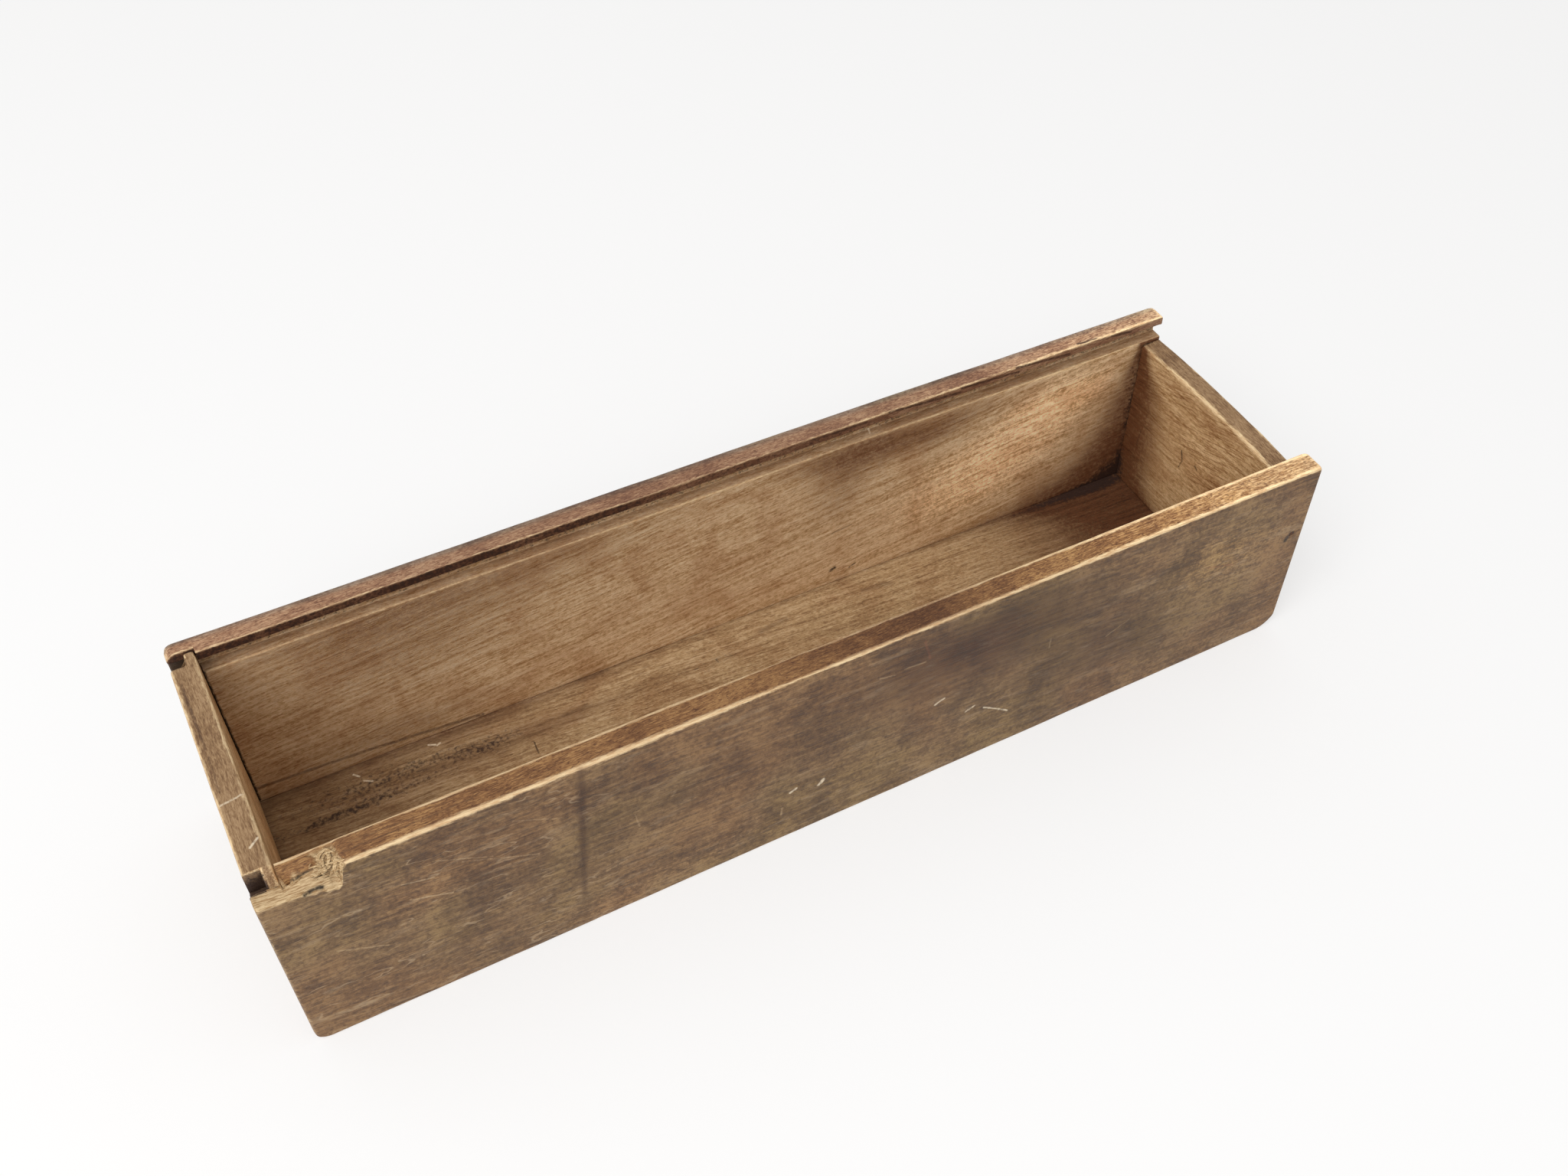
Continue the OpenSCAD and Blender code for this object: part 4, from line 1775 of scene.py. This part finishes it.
FRONT_MARKS = (
    *marks_on(
        Axis.Y, FRONT_Y,
        (18.8, 23.2, 20.8, 24.0, 0.43, CREAM, 0.70),
        (26.6, 16.4, 28.5, 17.2, 0.41, CREAM, 0.70),
        (31.0, 15.3, 37.2, 10.6, 0.32, CREAM, 0.70),
        (10.9, 38.6, 15.5, 38.2, 0.29, PALE, 0.23),
        (5.6, 38.7, 8.8, 38.0, 0.31, PALE, 0.23),
        (60.2, 21.8, 65.6, 24.3, 0.26, PALE, 0.20),
        (45.4, 26.0, 45.5, 28.9, 0.26, PALE, 0.20),
        (15.0, 44.5, 16.5, 38.8, 0.40, RUST, 0.35),
        (84.3, 30.7, 91.3, 28.4, 0.40, RUST, 0.35),
        (-87.4, 36.2, -82.1, 34.7, 0.31, PALE, 0.35),
        (-81.4, 39.1, -71.4, 33.6, 0.26, PALE, 0.23),
        (-86.8, 31.0, -79.7, 28.1, 0.31, PALE, 0.35),
        (-76.8, 35.7, -63.8, 28.8, 0.26, PALE, 0.20),
        (-101.0, 25.2, -92.8, 20.7, 0.29, PALE, 0.26),
        (-52.0, 14.7, -48.1, 15.6, 0.36, PALE, 0.20),
        (-45.2, 28.5, -44.6, 24.4, 0.29, PALE, 0.20),
        (-67.0, 41.3, -58.6, 36.5, 0.26, PALE, 0.20),
        (-7.2, 13.0, -6.2, 14.2, 0.55, CREAM, 0.80),
        (-13.6, 14.4, -12.2, 15.0, 0.49, CREAM, 0.70),
        (-15.6, 8.4, -15.4, 10.4, 0.36, PALE, 0.26),
    ),
    Mark((-102.0, FRONT_Y + 0.3, 44.0), (-100.6, FRONT_Y + 0.3, 44.2), 0.7, DARK, 0.95),
    Mark((-100.6, FRONT_Y + 0.3, 44.2), (-99.2, FRONT_Y + 0.3, 44.1), 0.7, DARK, 0.95),
    Mark((-104.8, FRONT_Y + 1.9, 46.0), (-101.8, FRONT_Y + 2.5, 46.4), 0.5, DARK, 0.85),
    Mark((-101.8, FRONT_Y + 2.5, 46.4), (-99.0, FRONT_Y + 2.8, 46.8), 0.5, DARK, 0.85),
    Mark((-94.5, FRONT_Y + 2.2, 48.5), (-72.0, FRONT_Y + 2.5, 48.5), 0.26, BROWN, 0.6),
    Mark((-93.0, FRONT_Y + 3.6, 48.5), (-82.0, FRONT_Y + 3.4, 48.5), 0.24, BROWN, 0.5),
    Mark((105.6, FRONT_Y + 0.1, 29.0), (105.9, FRONT_Y + 0.1, 29.8), 0.9, DARK, 0.9),
)

BACK_MARKS = (
    *marks_on(
        Axis.Y, LIP_Y,
        (20.8, 47.9, 33.3, 47.6, 0.5, BROWN, 0.95),
        (38.8, 48.2, 56.4, 47.0, 0.5, BROWN, 0.95),
        (56.8, 48.0, 71.3, 47.0, 0.5, BROWN, 0.95),
        (70.6, 48.3, 84.6, 47.0, 0.5, BROWN, 0.95),
    ),
    Mark((87.0, LIP_Y + 0.8, 48.5), (101.2, LIP_Y, 47.4), 0.5, BROWN, 0.95),
    *marks_on(
        Axis.Y, INNER_Y,
        (30.3, 5.2, 31.6, 5.8, 0.35, DARK, 0.8),
        (25.5, 6.5, 26.3, 6.9, 0.75, DARK, 0.95),
        (25.5, 18.3, 30.4, 18.9, 0.35, BROWN, 0.5),
        # dark line down the left inner corner: the joint's gap deepened with painted shade
        (-104.9, 3.0, -104.9, 48.0, 0.5, DARK, 0.95),
        (-104.5, 6.6, -82.0, 5.4, 0.7, BROWN, 0.6),
        (-82.0, 5.4, -58.0, 3.0, 0.7, BROWN, 0.7),
    ),
    Mark((37.3, INNER_Y + 3.7, 43.1), (35.4, INNER_Y + 3.5, 43.1), 0.4, CREAM, 0.9),
    Mark((35.4, INNER_Y + 3.5, 43.1), (34.9, INNER_Y + 1.5, 43.1), 0.35, CREAM, 0.8),
)

END_MARKS = (
    *marks_on(
        Axis.X, RIGHT_IN_X,
        (4.9, 26.1, 4.2, 23.6, 0.34, DARK, 0.85),
        (4.2, 23.6, 4.8, 21.2, 0.24, DARK, 0.7),
        (-0.2, 25.5, -0.9, 25.1, 0.40, DARK, 0.85),
        (19.8, 15.9, 19.4, 20.8, 0.30, BROWN, 0.5),
    ),
    *marks_on(
        Axis.Z, END_TOP,
        (-109.3, -9.9, -105.4, -9.2, 0.32, CREAM, 0.6),
        (-107.2, -20.3, -105.4, -18.8, 0.36, CREAM, 0.75),
        (-108.9, 19.0, -108.6, 3.0, 0.4, BROWN, 0.7),
        (-108.6, 1.0, -108.8, -7.0, 0.36, BROWN, 0.55),
    ),
    # painted shade in the gap where the end board's top meets the back wall
    Mark((RIGHT_IN_X + 0.3, 24.6, 42.3), (RIGHT_IN_X + 2.4, 24.7, 42.4), 0.6, DARK, 0.9),
)

FLOOR_MARKS = marks_on(
    Axis.Z, SIZE.floor,
    (-51.0, 13.9, -51.1, 10.6, 0.25, DARK, 0.8),
    (4.8, 19.3, 11.2, 20.0, 1.1, BROWN, 0.32),
    (30.9, 19.7, 37.9, 18.7, 1.0, BROWN, 0.32),
    (-36.9, 24.4, -30.0, 24.6, 0.8, BROWN, 0.35),
    (-43.1, 17.4, -37.6, 17.5, 0.9, BROWN, 0.32),
    (-86.5, 22.9, -85.6, 22.0, 0.36, CREAM, 0.8),
    (-85.0, 20.4, -83.6, 19.6, 0.32, CREAM, 0.75),
    (-70.6, 23.1, -69.3, 22.5, 0.34, CREAM, 0.8),
    (-69.0, 22.2, -68.2, 22.5, 0.3, CREAM, 0.7),
)

FRONT_WOOD = AgedWood(
    name="front_patinated_wood",
    along=Axis.X,
    raw=("94683F", "BC9262", "DAB586"),
    outer=("523A24", "745738", "93754F"),
    rim=("6E4829", "966A40", "BE925D"),
    tilt=(0.0, -3.0, 0.0),
    scratches=0.55,
    marks=FRONT_MARKS,
)
BACK_WOOD = AgedWood(
    name="back_reddish_wood",
    along=Axis.X,
    raw=("B28A5C", "DDBB90", "F0D6B0"),
    outer=("5E463A", "7F6754", "978371"),
    rim=("744E3A", "986F52", "B59070"),
    tilt=(0.0, 6.0, 0.0),
    spots=0.5,
    marks=BACK_MARKS,
)
END_WOOD = AgedWood(
    name="end_worn_wood",
    along=Axis.Y,
    raw=("AA8152", "D2AE7E", "E8C99C"),
    outer=("6A4F38", "8C7155", "A38A6C"),
    rim=("6F5035", "8F6F4D", "AA8A66"),
    tilt=(3.0, 0.0, 0.0),
    saw=0.55,
    spots=0.15,
    marks=END_MARKS,
)
FLOOR_WOOD = AgedWood(
    name="floor_stained_wood",
    along=Axis.X,
    raw=("8A6A4A", "B29268", "CDB08A"),
    outer=("5E4632", "7B624A", "928068"),
    rim=("8A6A4A", "B29268", "CDB08A"),
    tilt=(0.0, 0.0, 3.0),
    marks=FLOOR_MARKS,
)


# ---------------------------------------------------------------- studio


@dataclass(frozen=True)
class Viewpoint:
    """The scene's camera, placed in millimetres."""

    position: Point = (-95.40, -190.56, 269.04)
    target: Point = (14.62, -6.38, 24.0)
    roll: float = 2.53
    lens: float = 36.407
    sensor: float = 36.0
    shift: tuple[float, float] = (-0.0473, 0.0257)

    def place(self) -> Piece:
        """Makes the camera and gives it to the scene.

        Its right side is level and then turned about the line of sight by the roll.

        Returns:
            The camera.
        """
        data = bpy.data.cameras.new("viewpoint")
        data.lens, data.sensor_width, data.clip_start = self.lens, self.sensor, 0.01
        data.shift_x, data.shift_y = self.shift
        camera = bpy.data.objects.new("viewpoint", data)
        bpy.context.scene.collection.objects.link(camera)
        origin = Vector(self.position) * MM
        forward = (Vector(self.target) * MM - origin).normalized()
        level = forward.cross(Vector((0.0, 0.0, 1.0))).normalized()
        turn = math.radians(self.roll)
        right = level * math.cos(turn) + level.cross(forward) * math.sin(turn)
        axes = Matrix((right, right.cross(forward), -forward)).transposed()
        camera.matrix_world = Matrix.Translation(origin) @ axes.to_4x4()
        bpy.context.scene.camera = camera
        return camera


@dataclass(frozen=True)
class Studio:
    """Plain pale floor under soft even light."""

    floor_half: float = 1.6
    floor_level: float = -0.00005
    floor_code: str = "FAF9F8"
    floor_glow: float = 0.5
    floor_roughness: float = 0.9
    floor_sheen: float = 0.1
    sky_strength: float = 0.58
    key_energy: float = 10.0
    key_size: float = 0.9
    key_place: Point = (-0.6, -0.5, 1.0)

    def floor(self) -> Piece:
        """Makes the pale floor, lifted towards white for the camera and keeping its shadow.

        Returns:
            The floor.
        """
        h = self.floor_half
        mesh = bpy.data.meshes.new("studio_floor")
        corners = [(x, y, self.floor_level) for x, y in ((-h, -h), (h, -h), (h, h), (-h, h))]
        mesh.from_pydata(corners, [], [(0, 1, 2, 3)])
        plane = bpy.data.objects.new("studio_floor", mesh)
        bpy.context.scene.collection.objects.link(plane)
        c = Canvas(bpy.data.materials.new("studio_floor_paint"))
        c.coat(Base_Color=self.floor_code, Roughness=self.floor_roughness)
        c.coat(Specular_IOR_Level=self.floor_sheen)
        ray = c.add("ShaderNodeLightPath", {}, "Is Camera Ray").node.outputs
        seen = c.math("ADD", ray["Is Camera Ray"], ray["Is Glossy Ray"], clamp=True)
        share = c.math("MULTIPLY", seen, self.floor_glow)
        glow = c.add("ShaderNodeEmission", {"Strength": 1.0})
        mix = c.add("ShaderNodeMixShader", {0: share, 1: c.shader.outputs[0], 2: glow})
        c.feed(c.tree.nodes["Material Output"].inputs["Surface"], mix)
        dress(plane, c.owner)
        return plane

    def lights(self) -> None:
        """Sets the even sky, white to the camera, and one large soft lamp."""
        c = Canvas(bpy.data.worlds.new("studio_sky"), "Background")
        white = (1.0, 1.0, 1.0, 1.0)
        c.coat(Color=white, Strength=self.sky_strength)
        backdrop = c.add("ShaderNodeBackground", {"Color": white, "Strength": 1.0})
        seen = c.add("ShaderNodeLightPath", {}, "Is Camera Ray")
        mix = c.add("ShaderNodeMixShader", {0: seen, 1: c.shader.outputs[0], 2: backdrop})
        c.feed(c.tree.nodes["World Output"].inputs["Surface"], mix)
        bpy.context.scene.world = c.owner
        data = bpy.data.lights.new("soft_key", "AREA")
        data.energy, data.size = self.key_energy, self.key_size
        lamp = bpy.data.objects.new("soft_key", data)
        lamp.location = self.key_place
        lamp.rotation_mode = "QUATERNION"
        lamp.rotation_quaternion = (-Vector(self.key_place)).to_track_quat("-Z", "Y")
        bpy.context.scene.collection.objects.link(lamp)


def main() -> None:
    """Builds the box, its finishes and the studio, and reports each piece."""
    logging.basicConfig(level=logging.INFO, format="%(name)s: %(message)s")
    bpy.context.scene.view_settings.view_transform = "Standard"
    ends, front = END_WOOD.make(), FRONT_WOOD.make()
    boards = (
        (FRONT_BOARD, front),
        (TornFibres(), front),
        (BACK_BOARD, BACK_WOOD.make()),
        (LEFT_END_BOARD, ends),
        (RIGHT_END_BOARD, ends),
        (FLOOR_BOARD, FLOOR_WOOD.make()),
    )
    for board, material in boards:
        piece = board.build()
        dress(piece, material)
        LOG.info("%s: %d points", piece.name, len(piece.data.vertices))
    iron = RustyIron().make()
    for node in ("corner_pins", "floor_pins"):
        dress(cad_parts[node], iron)
        LOG.info("%s: dressed", node)
    studio = Studio()
    studio.floor()
    studio.lights()
    Viewpoint().place()


if __name__ == "__main__":
    main()
